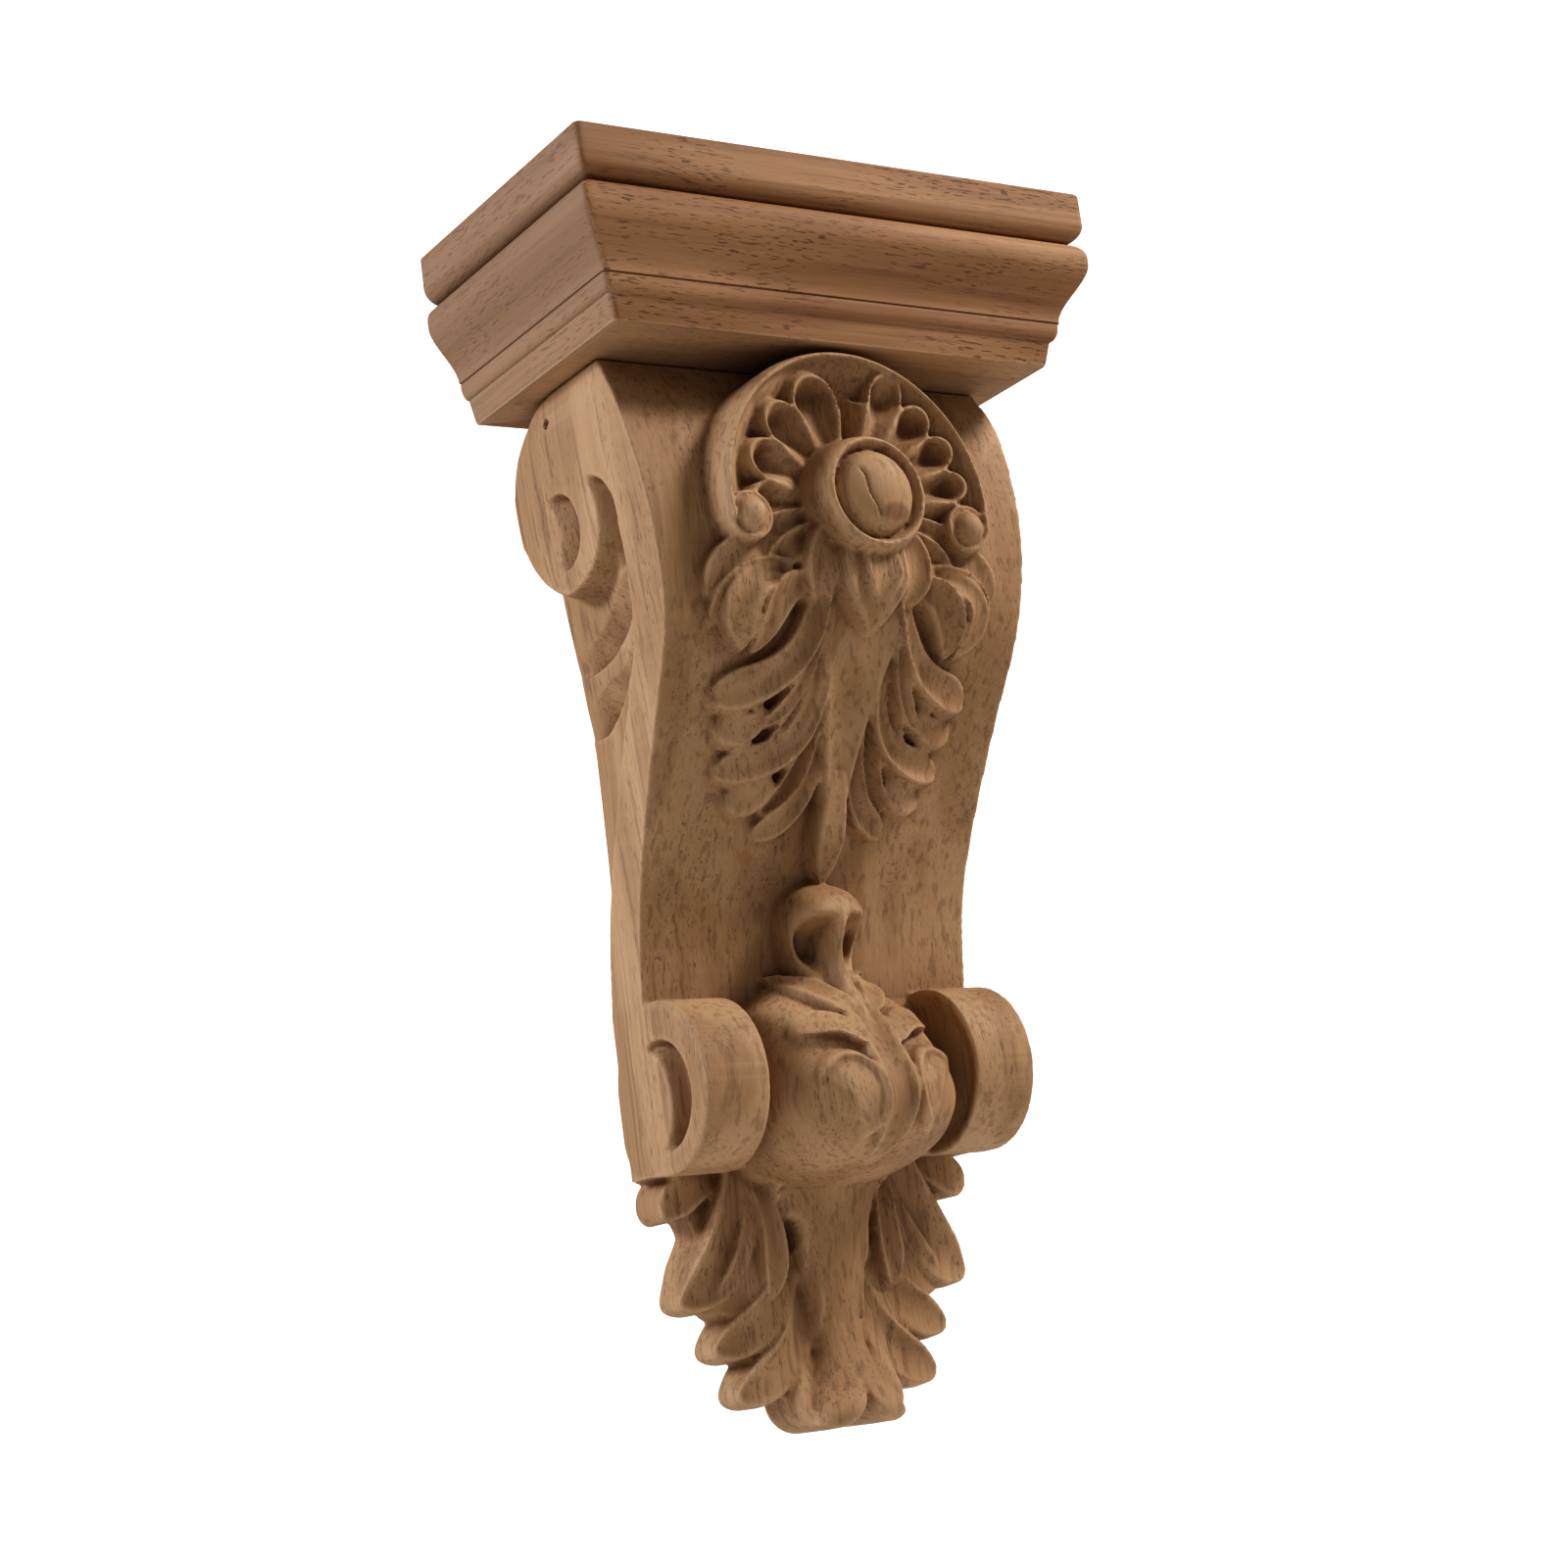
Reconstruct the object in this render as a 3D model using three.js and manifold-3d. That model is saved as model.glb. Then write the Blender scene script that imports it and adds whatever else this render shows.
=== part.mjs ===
// Carved wooden corbel: a top board and a moulded board over a scroll-shaped carved body. Millimetres. +X
// is to the right seen from the front, the wall is the plane y = 0, the front faces -Y, +Z is up. The
// origin is the middle of the corbel's height on the wall.
import * as THREE from 'three';
import Module from 'manifold-3d';

const wasm = await Module();
wasm.setup();

// Cap: two boards of the same width and depth, flush at the wall.
const CAP_TOP = 150;
const CAP_WIDTH = 150;
const CAP_DEPTH = 82;
const TOP_BOARD_THICKNESS = 13;
const TOP_BOARD_ARRIS = 1;
const CORNER_RADIUS = 1.5;
const MOULDING_THICKNESS = 31;
const JOINT_GROOVE_DEPTH = 4.5;
const JOINT_GROOVE_HEIGHT = 4.4;
const OGEE_INSET = 7;
const OGEE_HEIGHT = 16;
const BEAD_RADIUS = 2.2;
const CAP_FOOT_INSET = 10.6;
const JOINT_GAP = 0.3;

// Body: its three overall sizes. Its carving keeps its proportions to them.
const BODY_HEIGHT = 258;
const BODY_WIDTH = 115;
const BODY_DEPTH = 61.5;

// Scroll face: the S-shaped front, as depth from the wall at heights on the body.
const FACE_LEVELS = [105.4, 94, 80, 63, 46, 34, 16, -8, -26, -48];
const FACE_DEPTHS = [48.4, 54.9, 59.2, 61.5, 59.8, 55.6, 44.4, 30.8, 23.1, 18.6];
const EDGE_LEVELS = [105.4, 94, 60, 34, 4, -24, -50];
const EDGE_HALF_WIDTHS = [56.9, 57.5, 55, 52.1, 50, 48.6, 48.4];
const SIDE_BAND = 13.5;
const SIDE_RECESS = 9;
const SCROLL_CENTRE = [24, 80];
const SCROLL_RADIUS = 25;

// Lower volutes: two rolls at the outer ends, with a round boss between them.
const VOLUTE_LEVEL = -68;
const VOLUTE_RADIUS = 21;
const VOLUTE_CENTRE_DEPTH = 22;
const VOLUTE_INNER = 30.3;
const BOSS_REACH = 52.5;
const BOSS_HALF_WIDTH = 27;

// Shell and button on the upper front, round the same centre.
const ROSETTE_LEVEL = 65;
const SHELL_RADIUS = 38.5;
const SHELL_DEPTH = 70.5;
const SHELL_HOLLOW = 6;
const SHELL_RIM_WIDTH = 3;
const BUTTON_RADIUS = 14.5;
const BUTTON_DEPTH = 77.5;
const BUTTON_DOME = 2.4;

// Tail: the leafy end below the volutes, cut straight back to the wall.
const TAIL_TOP = -89;
const TAIL_EDGE_DEPTH = 11;
const TAIL_STEM_DEPTH = 17;
const TAIL_LEVELS = [-89, -103, -125, -146, -152.6];
const TAIL_HALF_WIDTHS = [42, 35.5, 29, 17, 11];

// Facets: the carved surface is halved until every facet lies this close to it.
const FACET_TOLERANCE = 1.5;
const FACET_GRID = 128;

// The height that the carving's own levels are drawn for.
const DRAWN_TOP = 105.4;
const DRAWN_HEIGHT = 258;
const DRAWN_WIDTH = 115;
const DRAWN_DEPTH = 61.5;

const bodyTop = CAP_TOP - TOP_BOARD_THICKNESS - MOULDING_THICKNESS - JOINT_GAP * 2;
const drawnBottom = DRAWN_TOP - DRAWN_HEIGHT;

// The place of a drawn point of the carving on the real body.
function place(x, depth, z) {
  const wide = BODY_WIDTH / DRAWN_WIDTH;
  const deep = BODY_DEPTH / DRAWN_DEPTH;
  const tall = BODY_HEIGHT / DRAWN_HEIGHT;
  return [x * wide, -depth * deep, bodyTop + (z - DRAWN_TOP) * tall];
}

// Small helpers. ease rises smoothly from 0 to 1, ramp does so between two values,
// dome is a quarter circle that falls from 1 at 0 to 0 at 1.
const clamp01 = (t) => Math.min(1, Math.max(0, t));
const ease = (t) => clamp01(t) ** 2 * (3 - 2 * clamp01(t));
const ramp = (a, b, t) => ease((t - a) / (b - a));
const mix = (a, b, t) => a + (b - a) * t;
const dome = (t) => Math.sqrt(Math.max(0, 1 - t * t));
const bell = (t) => Math.exp(-t * t);
const curve = (steps, at) => Array.from({ length: steps + 1 }, (_, k) => at(k / steps));

// A smooth curve through levels (falling) and values, with the slope at each point taken from its
// neighbours.
function curveThrough(levels, values) {
  const last = levels.length - 1;
  const slope = (i) => {
    const a = Math.max(0, i - 1);
    const b = Math.min(last, i + 1);
    return (values[b] - values[a]) / (levels[b] - levels[a]);
  };
  return (level) => {
    const at = Math.min(levels[0], Math.max(levels[last], level));
    let i = 0;
    while (i < last - 1 && at < levels[i + 1]) i += 1;
    const step = levels[i + 1] - levels[i];
    const t = (at - levels[i]) / step;
    const lift = (1 + 2 * t) * (1 - t) ** 2 * values[i] + t * t * (3 - 2 * t) * values[i + 1];
    return lift + step * t * (1 - t) * ((1 - t) * slope(i) - t * slope(i + 1));
  };
}
const faceDepth = curveThrough(FACE_LEVELS, FACE_DEPTHS);
const faceHalfWidth = curveThrough(EDGE_LEVELS, EDGE_HALF_WIDTHS);

// A leaf stroke is drawn on the front as a bent spine from base to tip, with half-widths at its base,
// middle and end, and a round tip. It stands up from the ground by its height on drafted walls, and its
// top is scooped along its middle and tilted to one side.
const STROKE_STEPS = 5;
const STROKE_EDGE = 0.82;
const STROKE_FOOT = 1.15;
const TIP_ROUNDING = 0.25;
const TIP_END = 0.12;
const threeWay = ([a, b, c], t) => (1 - t) ** 2 * a + 2 * t * (1 - t) * b + t * t * c;
function strokeSolid({ base, bend, tip, widths, height, scoop = 0.3, tilt = 0, back }, groundAt, side) {
  const rings = curve(STROKE_STEPS, (step) => {
    const t = mix(step, 1 - (1 - step) ** 2, 0.5);
    const [x, z] = [0, 1].map((k) => threeWay([base[k], bend[k], tip[k]], t));
    const [ahead, up] = [0, 1].map((k) => mix(bend[k] - base[k], tip[k] - bend[k], t));
    const length = Math.hypot(ahead, up);
    const rounding = Math.max(TIP_END, dome(Math.max(0, (t - 1 + TIP_ROUNDING) / TIP_ROUNDING)));
    const half = threeWay(widths, t) * rounding;
    const lift = height * Math.sqrt(rounding);
    const across = (s) => [x - (up / length) * half * s, z + (ahead / length) * half * s];
    const crest = (s) => {
      const [ax, az] = across(s);
      return [ax, groundAt(ax, az) + lift * (s === 0 ? 1 - scoop : 0.85) * (1 + tilt * s), az];
    };
    const foot = (s) => {
      const [ax, az] = across(s);
      return [ax, back ?? groundAt(ax, az) - height, az];
    };
    return [crest(-STROKE_EDGE), crest(0), crest(STROKE_EDGE), foot(STROKE_FOOT), foot(-STROKE_FOOT)];
  });
  const placed = rings.map((ring) => ring.map(([x, depth, z]) => place(side * x, depth, z)));
  const mean = (values) => values.reduce((sum, value) => sum + value, 0) / values.length;
  const middleOf = (ring) => [0, 1, 2].map((k) => mean(ring.map((corner) => corner[k])));
  const { vertices, faces } = ringSurface(placed, middleOf(placed[0]), middleOf(placed[STROKE_STEPS]));
  return solidOf(vertices, side < 0 ? reversed(faces) : faces);
}

// Strokes of the upper front, drawn for one side and mirrored: petals under the button, then leaves down
// the stem.
const petals = [
  { base: [9, 56], bend: [16, 50], tip: [12, 40], widths: [5, 8, 5], height: 8.5, scoop: 0.05 },
  { base: [14, 58], bend: [24, 57], tip: [31, 45], widths: [3, 5, 4], height: 7, scoop: 0.15 },
  { base: [19, 61], bend: [33, 62], tip: [41, 45], widths: [3, 5, 4], height: 6, scoop: 0.15 },
];
const stemLeaves = [
  { base: [13, 44], bend: [34, 50], tip: [35, 27], widths: [3, 5, 5], height: 7.5, tilt: -0.2 },
  { base: [16, 43], bend: [18, 35], tip: [26, 29], widths: [3, 6, 4], height: 8, scoop: 0.6 },
  { base: [11, 41], bend: [9, 19], tip: [38, 19], widths: [2, 4, 6.5], height: 7.5, scoop: 0.1, tilt: 0.2 },
  { base: [17, 21], bend: [22, 13], tip: [31, 11], widths: [2, 3, 4], height: 5, scoop: 0.1 },
  { base: [8, 23], bend: [9, 14], tip: [19, 11], widths: [2, 5, 4], height: 7, scoop: 0.6 },
  { base: [7, 23], bend: [4, 4], tip: [33, 3], widths: [2, 3.5, 6], height: 7, scoop: 0.1, tilt: 0.2 },
  { base: [12, 3], bend: [16, -3], tip: [25, -4], widths: [2, 3, 3.5], height: 5, scoop: 0.1 },
  { base: [4.5, 10], bend: [5, -1], tip: [14, -3], widths: [1.5, 4, 3.5], height: 6, scoop: 0.5 },
  { base: [3.5, 6], bend: [3, -9], tip: [19, -9], widths: [1.5, 3, 3.5], height: 5, scoop: 0.1 },
];

// Strokes on the centre line: the stem, the pointed petal over it, the stem's end, the nose of the curl
// that overhangs the rib below it, and the rib down the boss.
const middleStrokes = [
  { base: [0, 49], bend: [0, 24], tip: [0, -16], widths: [17, 5.5, 3], height: 6.5, scoop: 0.1 },
  { base: [0, 58], bend: [0, 46], tip: [0, 33.5], widths: [9, 12, 7], height: 9.5, scoop: 0.15 },
  { base: [0, 2], bend: [0, -8], tip: [0, -21], widths: [2, 5, 4], height: 7.5, scoop: 0 },
  { base: [-10, -30], bend: [0, -21], tip: [10, -30], widths: [3, 6.5, 3], height: 13, scoop: 0 },
  { base: [0, -26], bend: [0, -38], tip: [0, -55], widths: [4, 3, 3], height: 12, scoop: 0 },
  { base: [0, -50], bend: [0, -66], tip: [0, -92], widths: [2.5, 4.5, 4], height: 4.5, scoop: 0 },
];

// Leaves that wrap the boss.
const bossLeaves = [
  { base: [3, -50], bend: [14, -50], tip: [21, -58], widths: [2, 4, 3], height: 3.5 },
  { base: [6, -56], bend: [26, -56], tip: [19, -85], widths: [2, 5, 5], height: 4, scoop: 0.3 },
  { base: [3, -60], bend: [15, -60], tip: [11, -90], widths: [2, 5, 5], height: 4.5, scoop: 0.3 },
];

// Leaves of the tail, cut straight back to the wall, and the two lobes of its lip.
const tailLeaves = [
  { base: [30, -88], bend: [40, -93], tip: [43.3, -99], widths: [6, 5, 4], height: 2, scoop: 0.1, back: 0 },
  { base: [22, -88], bend: [27, -106], tip: [42.3, -118.5], widths: [6, 9, 5], height: 8, tilt: 0.2, back: 0 },
  { base: [22, -90], bend: [16, -104], tip: [21, -121], widths: [3, 5, 4.5], height: 9, scoop: 0.4, back: 0 },
  { base: [12, -106], bend: [12, -124], tip: [34.8, -130.5], widths: [3, 6, 5], height: 8, tilt: 0.2, back: 0 },
  { base: [8, -120], bend: [9, -136], tip: [29.8, -142], widths: [3, 6, 5], height: 7, tilt: 0.2, back: 0 },
];
const lipStroke = {
  base: [4, -130], bend: [6, -144], tip: [13.5, -149], widths: [4, 8, 6], height: 8, scoop: 0, back: 0,
};

// The half shell: a raised plate with a rolled rim, hollowed between scooped rays that stand out from the
// button. It is given as depth at a radius and a turn in degrees from straight up; below its ends it sinks
// into the body.
const SHELL_RAYS = [-90, -68, -45, -21, 4, 26, 43, 60, 77, 94];
const SHELL_END = 100;
const RAY_HALF_ANGLE = 9.5;
const SUNK_DEPTH = 44;
const ROSETTE_ROOT = 4;
function shellDepth(r, turn) {
  const out = clamp01((r - BUTTON_RADIUS) / (SHELL_RADIUS - SHELL_RIM_WIDTH * 2 - BUTTON_RADIUS));
  let ray = 0;
  for (const angle of SHELL_RAYS) {
    const s = Math.abs(turn - angle) / RAY_HALF_ANGLE;
    const edge = bell((s - 0.9) / 0.35) - 0.4 * bell(s / 0.5);
    ray = Math.max(ray, edge * dome(Math.max(0, (out - 0.6) / 0.4)));
  }
  const rim = bell((SHELL_RADIUS - SHELL_RIM_WIDTH / 2 - r) / (SHELL_RIM_WIDTH / 2));
  const plate = SHELL_DEPTH - SHELL_HOLLOW * (1 - Math.max(rim, 0.8 * ray));
  return mix(plate, SUNK_DEPTH, ramp(SHELL_END, SHELL_END + 4, Math.abs(turn)));
}

// The button's depth at a radius: a low dome, a groove, a rolled ring and a steep wall down to the shell.
function buttonDepth(r) {
  const s = r / BUTTON_RADIUS;
  if (s > 1) return 0;
  const ring = BUTTON_DEPTH - 1.5 * ((s - 0.9) / 0.1) ** 2;
  return s > 0.8 ? ring : BUTTON_DEPTH - 2.5 + (2.5 + BUTTON_DOME) * dome(s / 0.8);
}

// Rings of the rosette, from the button's middle out to the shell's rim, as radii.
const ROSETTE_RINGS = [
  ...[0.5, 0.78, 0.83, 0.9, 1].map((share) => share * BUTTON_RADIUS),
  ...[0.08, 0.4, 0.68, 0.8, 0.88, 0.96, 1].map((share) => mix(BUTTON_RADIUS, SHELL_RADIUS, share)),
];
const ROSETTE_STEPS = 48;
function rosette() {
  const rings = ROSETTE_RINGS.map((r) => Array.from({ length: ROSETTE_STEPS }, (_, k) => {
    const turn = (k / ROSETTE_STEPS) * 360 - 180;
    const angle = THREE.MathUtils.degToRad(turn);
    const depth = r <= BUTTON_RADIUS ? buttonDepth(r) : shellDepth(r, turn);
    return place(r * Math.sin(angle), depth, ROSETTE_LEVEL + r * Math.cos(angle));
  }));
  return roundSolid(rings, place(0, buttonDepth(0), ROSETTE_LEVEL), place(0, SUNK_DEPTH - ROSETTE_ROOT, 0)[1]);
}

// The two small curls at the shell's ends: low round knobs.
const CURL_CENTRE = [32, 59.5];
const CURL_RADIUS = 5;
const CURL_FOOT_DEPTH = 68;
const CURL_DOME = 3.5;
const KNOB_STEPS = 14;
function shellCurl(side) {
  const rings = [0.45, 0.8, 1].map((share) => Array.from({ length: KNOB_STEPS }, (_, k) => {
    const angle = (k / KNOB_STEPS) * Math.PI * 2;
    const r = share * CURL_RADIUS;
    const depth = CURL_FOOT_DEPTH + CURL_DOME * dome(share);
    return place(side * CURL_CENTRE[0] + r * Math.sin(angle), depth, CURL_CENTRE[1] + r * Math.cos(angle));
  }));
  const crown = place(side * CURL_CENTRE[0], CURL_FOOT_DEPTH + CURL_DOME, CURL_CENTRE[1]);
  return roundSolid(rings, crown, place(0, SUNK_DEPTH, 0)[1]);
}

// The boss between the volutes: an egg-shaped swelling.
const BOSS_LEVEL = -75;
const BOSS_UP = 36;
const BOSS_DOWN = 18.5;
function boss(x, z) {
  const across = Math.abs(x) / BOSS_HALF_WIDTH;
  const rise = z > BOSS_LEVEL ? (z - BOSS_LEVEL) / BOSS_UP : (BOSS_LEVEL - z) / BOSS_DOWN;
  if (across >= 1 || rise >= 1) return 0;
  return (BOSS_REACH - 3) * dome(rise) ** 0.75 * dome(across ** 1.6) ** 0.6;
}

// The lower volute: a round roll seen from the side.
function volute(x, z) {
  const height = Math.abs(z - VOLUTE_LEVEL) / VOLUTE_RADIUS;
  if (Math.abs(x) < VOLUTE_INNER || height >= 1) return 0;
  return VOLUTE_CENTRE_DEPTH + VOLUTE_RADIUS * dome(height);
}

// The tail's core under its leaves: a plain edge round a stem that is hollowed and then flares into the
// lip.
const tailHalfWidth = curveThrough(TAIL_LEVELS, TAIL_HALF_WIDTHS);
function tail(x, z) {
  const side = Math.abs(x);
  const stemHalf = 8 + 8 * ramp(-118, -92, z) + 4 * ramp(-130, -148, z);
  const stemDepth = TAIL_STEM_DEPTH + 3 * ramp(-112, -90, z) - 2.5 * bell((z + 130) / 10);
  const depth = TAIL_EDGE_DEPTH - 2 + (stemDepth - TAIL_EDGE_DEPTH + 2) * dome(side / stemHalf);
  return depth * mix(0.5, 1, dome(ramp(-145, drawnBottom, z)));
}

// Depth from the wall of the carved front at a place across and up the body.
function frontDepth(x, z) {
  const ground = z > TAIL_TOP ? faceDepth(z) : tail(x, z);
  return Math.max(ground, boss(x, z), volute(x, z));
}

// Half-width of the front face, then of the volutes' ends, then of the tail.
function halfWidth(z) {
  if (z > TAIL_TOP) return faceHalfWidth(z);
  return Math.min(faceHalfWidth(z), tailHalfWidth(z));
}

// Relief of the side, as depth below the front edge's width, at a distance from the wall and a height. A
// band follows the front edge and rolls into the scroll; behind it the side is hollowed in sweeping
// flutes.
const CRESCENTS = [
  { outer: [28, 67, 18.3], inner: [20.5, 71, 13.6], depth: 7 },
  { outer: [15, 72.5, 11.5], inner: [9.5, 76, 9], depth: 5 },
];
const FLUTE_CRESTS = [47, 33, 19, 3];
function sideRelief(forward, z) {
  const edge = frontEdgeDepth(z);
  const scroll = Math.hypot(forward - SCROLL_CENTRE[0], z - SCROLL_CENTRE[1]) / SCROLL_RADIUS;
  let relief = 0;
  for (const { outer, inner, depth } of CRESCENTS) {
    const inOuter = outer[2] - Math.hypot(forward - outer[0], z - outer[1]);
    const inInner = Math.hypot(forward - inner[0], z - inner[1]) - inner[2];
    relief = Math.max(relief, depth * clamp01(inOuter / 1.5) * ease(inInner / 8));
  }
  if (scroll < 1) return relief + 1.2 * (1 - dome(scroll * 0.98)) * ramp(20, 8, forward);
  if (z > SCROLL_CENTRE[1]) return forward < SCROLL_CENTRE[0] ? SIDE_RECESS * clamp01((scroll - 1) * 14) : 0;
  const behind = edge - SIDE_BAND - 4 * ramp(30, -20, z) - forward;
  if (behind <= 0) return relief;
  const sweep = 14 * clamp01(forward / 40) ** 1.6;
  let crest = 0;
  for (const level of FLUTE_CRESTS) crest = Math.max(crest, bell((z - sweep - level) / 3.6));
  const fade = mix(0.3, 1, ramp(-60, 20, z));
  const floor = SIDE_RECESS * fade * (1 - 0.5 * crest * ramp(-20, 10, z));
  return Math.max(relief, floor * clamp01(behind / 3) * clamp01((scroll - 1) * 14));
}

// Depth of the front edge of the side: the plain face, the volute's round end, or the tail's edge.
function frontEdgeDepth(z) {
  return frontDepth(halfWidth(z) * 0.999, z);
}

// A point of the carved surface. across runs 0 to 1 from the wall on the left, round the front, to the
// wall on the right, with the front corners at a quarter and three quarters; down runs 0 to 1 from the top
// to the tail's end.
const CORNER = 0.25;
function carvedPoint(across, down) {
  const z = DRAWN_TOP - DRAWN_HEIGHT * down;
  const half = halfWidth(z);
  const fromLeft = across < 0.5;
  const fromWall = (fromLeft ? across : 1 - across) / CORNER;
  let x = half * (across - 0.5) / (0.5 - CORNER);
  let depth = 0;
  if (fromWall >= 1) {
    depth = frontDepth(x, z);
  } else {
    depth = frontEdgeDepth(z) * fromWall;
    const relief = z > TAIL_TOP ? sideRelief(depth, z) : 0;
    x = (fromLeft ? -1 : 1) * (half - relief);
  }
  return place(x, depth, z);
}

// Right-angled facets: the square grid is cut in two along its diagonal, and each triangle is halved at
// the middle of its long edge while the surface lies further than the tolerance from that edge, there or
// in any smaller triangle that leans on it. So neighbours always share whole edges. A triangle is [ax, ay,
// bx, by, cx, cy], with its right angle at c.
const longEdgeMiddle = ([ax, ay, bx, by]) => [(ax + bx) / 2, (ay + by) / 2];
function halvesOf(triangle) {
  const [ax, ay, bx, by, cx, cy] = triangle;
  const middle = longEdgeMiddle(triangle);
  return [[cx, cy, ax, ay, ...middle], [bx, by, cx, cy, ...middle]];
}
function gapToLine(point, from, to) {
  const [p, a, b] = [point, from, to].map((corner) => new THREE.Vector3(...corner));
  return new THREE.Line3(a, b).closestPointToPoint(p, true, new THREE.Vector3()).distanceTo(p);
}
function facetSurface(pointAt, cells, tolerance) {
  const row = cells + 1;
  const points = [];
  for (let j = 0; j < row; j += 1) {
    for (let i = 0; i < row; i += 1) points.push(pointAt(i / cells, j / cells));
  }
  const at = (i, j) => j * row + i;
  const canHalve = (triangle) => longEdgeMiddle(triangle).every(Number.isInteger);
  const levels = [];
  let level = [[0, 0, cells, cells, cells, 0], [cells, cells, 0, 0, 0, cells]];
  while (canHalve(level[0])) {
    levels.unshift(level);
    level = level.flatMap(halvesOf);
  }
  const error = new Float64Array(row * row);
  for (const triangle of levels.flat()) {
    const [ax, ay, bx, by] = triangle;
    const middle = at(...longEdgeMiddle(triangle));
    const [a, b] = [points[at(ax, ay)], points[at(bx, by)]];
    const off = gapToLine(points[middle], a, b);
    const smaller = halvesOf(triangle).filter(canHalve).map((half) => error[at(...longEdgeMiddle(half))]);
    error[middle] = Math.max(error[middle], off, ...smaller);
  }
  const numbers = new Map();
  const vertices = [];
  const numberOf = (i, j) => {
    if (!numbers.has(at(i, j))) {
      numbers.set(at(i, j), vertices.length);
      vertices.push(points[at(i, j)]);
    }
    return numbers.get(at(i, j));
  };
  const triangles = [];
  const split = (triangle) => {
    if (canHalve(triangle) && error[at(...longEdgeMiddle(triangle))] > tolerance) {
      halvesOf(triangle).forEach(split);
    } else {
      const [ax, ay, bx, by, cx, cy] = triangle;
      triangles.push([numberOf(ax, ay), numberOf(bx, by), numberOf(cx, cy)]);
    }
  };
  levels[levels.length - 1].forEach(split);
  const edge = (place) => Array.from({ length: row }, (_, k) => at(...place(k)))
    .filter((key) => numbers.has(key)).map((key) => numbers.get(key));
  return { vertices, triangles, edge };
}

// Flat faces. A fan closes an outline round a new point in its middle; a zip joins two edges that run side
// by side.
function fan(vertices, outline, middle) {
  vertices.push(middle);
  const hub = vertices.length - 1;
  return outline.map((corner, k) => [hub, corner, outline[(k + 1) % outline.length]]);
}
function zip(vertices, left, right) {
  const faces = [];
  let [i, j] = [0, 0];
  while (i < left.length - 1 || j < right.length - 1) {
    const nextLeft = i < left.length - 1 ? vertices[left[i + 1]][2] : -Infinity;
    const nextRight = j < right.length - 1 ? vertices[right[j + 1]][2] : -Infinity;
    if (nextLeft >= nextRight) {
      faces.push([left[i], right[j], left[i + 1]]);
      i += 1;
    } else {
      faces.push([left[i], right[j], right[j + 1]]);
      j += 1;
    }
  }
  return faces;
}
const reversed = (faces) => faces.map(([a, b, c]) => [a, c, b]);

// A closed surface over rings of points, each joined to the next, with a fan round a middle point at both
// ends.
function ringSurface(rings, firstMiddle, lastMiddle) {
  const size = rings[0].length;
  const vertices = rings.flat();
  const ringNumbers = (j) => Array.from({ length: size }, (_, i) => j * size + i);
  const last = rings.length - 1;
  const faces = [
    ...fan(vertices, ringNumbers(0), firstMiddle),
    ...reversed(fan(vertices, ringNumbers(last), lastMiddle)),
  ];
  for (let j = 0; j < last; j += 1) {
    for (let i = 0; i < size; i += 1) {
      const [a, b] = [j * size + i, j * size + ((i + 1) % size)];
      faces.push([a, a + size, b + size], [a, b + size, b]);
    }
  }
  return { vertices, faces };
}

// A round solid: rings from the middle of its front outwards, then the same outline at its flat back.
function roundSolid(rings, middle, backDepth) {
  const back = rings[rings.length - 1].map(([x, , z]) => [x, backDepth, z]);
  const { vertices, faces } = ringSurface([...rings, back], middle, [middle[0], backDepth, middle[2]]);
  return solidOf(vertices, reversed(faces));
}

function solidOf(vertices, faces) {
  const vertProperties = new Float32Array(vertices.flat());
  const triVerts = new Uint32Array(faces.flat());
  return new wasm.Manifold(new wasm.Mesh({ numProp: 3, vertProperties, triVerts }));
}

function meshFrom(name, vertices, faces, material) {
  const geometry = new THREE.BufferGeometry();
  geometry.setAttribute('position', new THREE.Float32BufferAttribute(vertices.flat(), 3));
  geometry.setIndex(faces.flat());
  geometry.computeVertexNormals();
  const mesh = new THREE.Mesh(geometry, material);
  mesh.name = name;
  return mesh;
}

// The carved body: faceted front and sides, closed by flat faces at the wall, the top and the tail's end.
function carvedBody(material) {
  const { vertices, triangles, edge } = facetSurface(carvedPoint, FACET_GRID, FACET_TOLERANCE);
  const leftWall = edge((k) => [0, k]);
  const rightWall = edge((k) => [FACET_GRID, k]);
  const topEdge = edge((k) => [k, 0]);
  const endEdge = edge((k) => [k, FACET_GRID]);
  const middleOf = (outline) => {
    const front = Math.min(...outline.map((corner) => vertices[corner][1]));
    return [0, front / 2, vertices[outline[0]][2]];
  };
  const faces = [
    ...triangles,
    ...zip(vertices, leftWall, rightWall),
    ...fan(vertices, topEdge, middleOf(topEdge)),
    ...reversed(fan(vertices, endEdge, middleOf(endEdge))),
  ];
  const tailGround = (x, z) => (z > TAIL_TOP ? TAIL_EDGE_DEPTH : tail(x, z));
  const bothSides = (strokes, ...how) => strokes.flatMap((stroke) => [
    strokeSolid(stroke, ...how, 1),
    strokeSolid(stroke, ...how, -1),
  ]);
  const carving = [
    rosette(),
    shellCurl(-1),
    shellCurl(1),
    ...bothSides([...petals, ...stemLeaves, ...bossLeaves], frontDepth),
    ...middleStrokes.map((stroke) => strokeSolid(stroke, frontDepth, 1)),
    ...bothSides([...tailLeaves, lipStroke], tailGround),
  ];
  const joined = carving.reduce((body, piece) => body.add(piece), solidOf(vertices, faces)).getMesh();
  const threes = (list) => Array.from({ length: list.length / 3 }, (_, k) => [...list.slice(k * 3, k * 3 + 3)]);
  return meshFrom('carved_body', threes(joined.vertProperties), threes(joined.triVerts), material);
}

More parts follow.
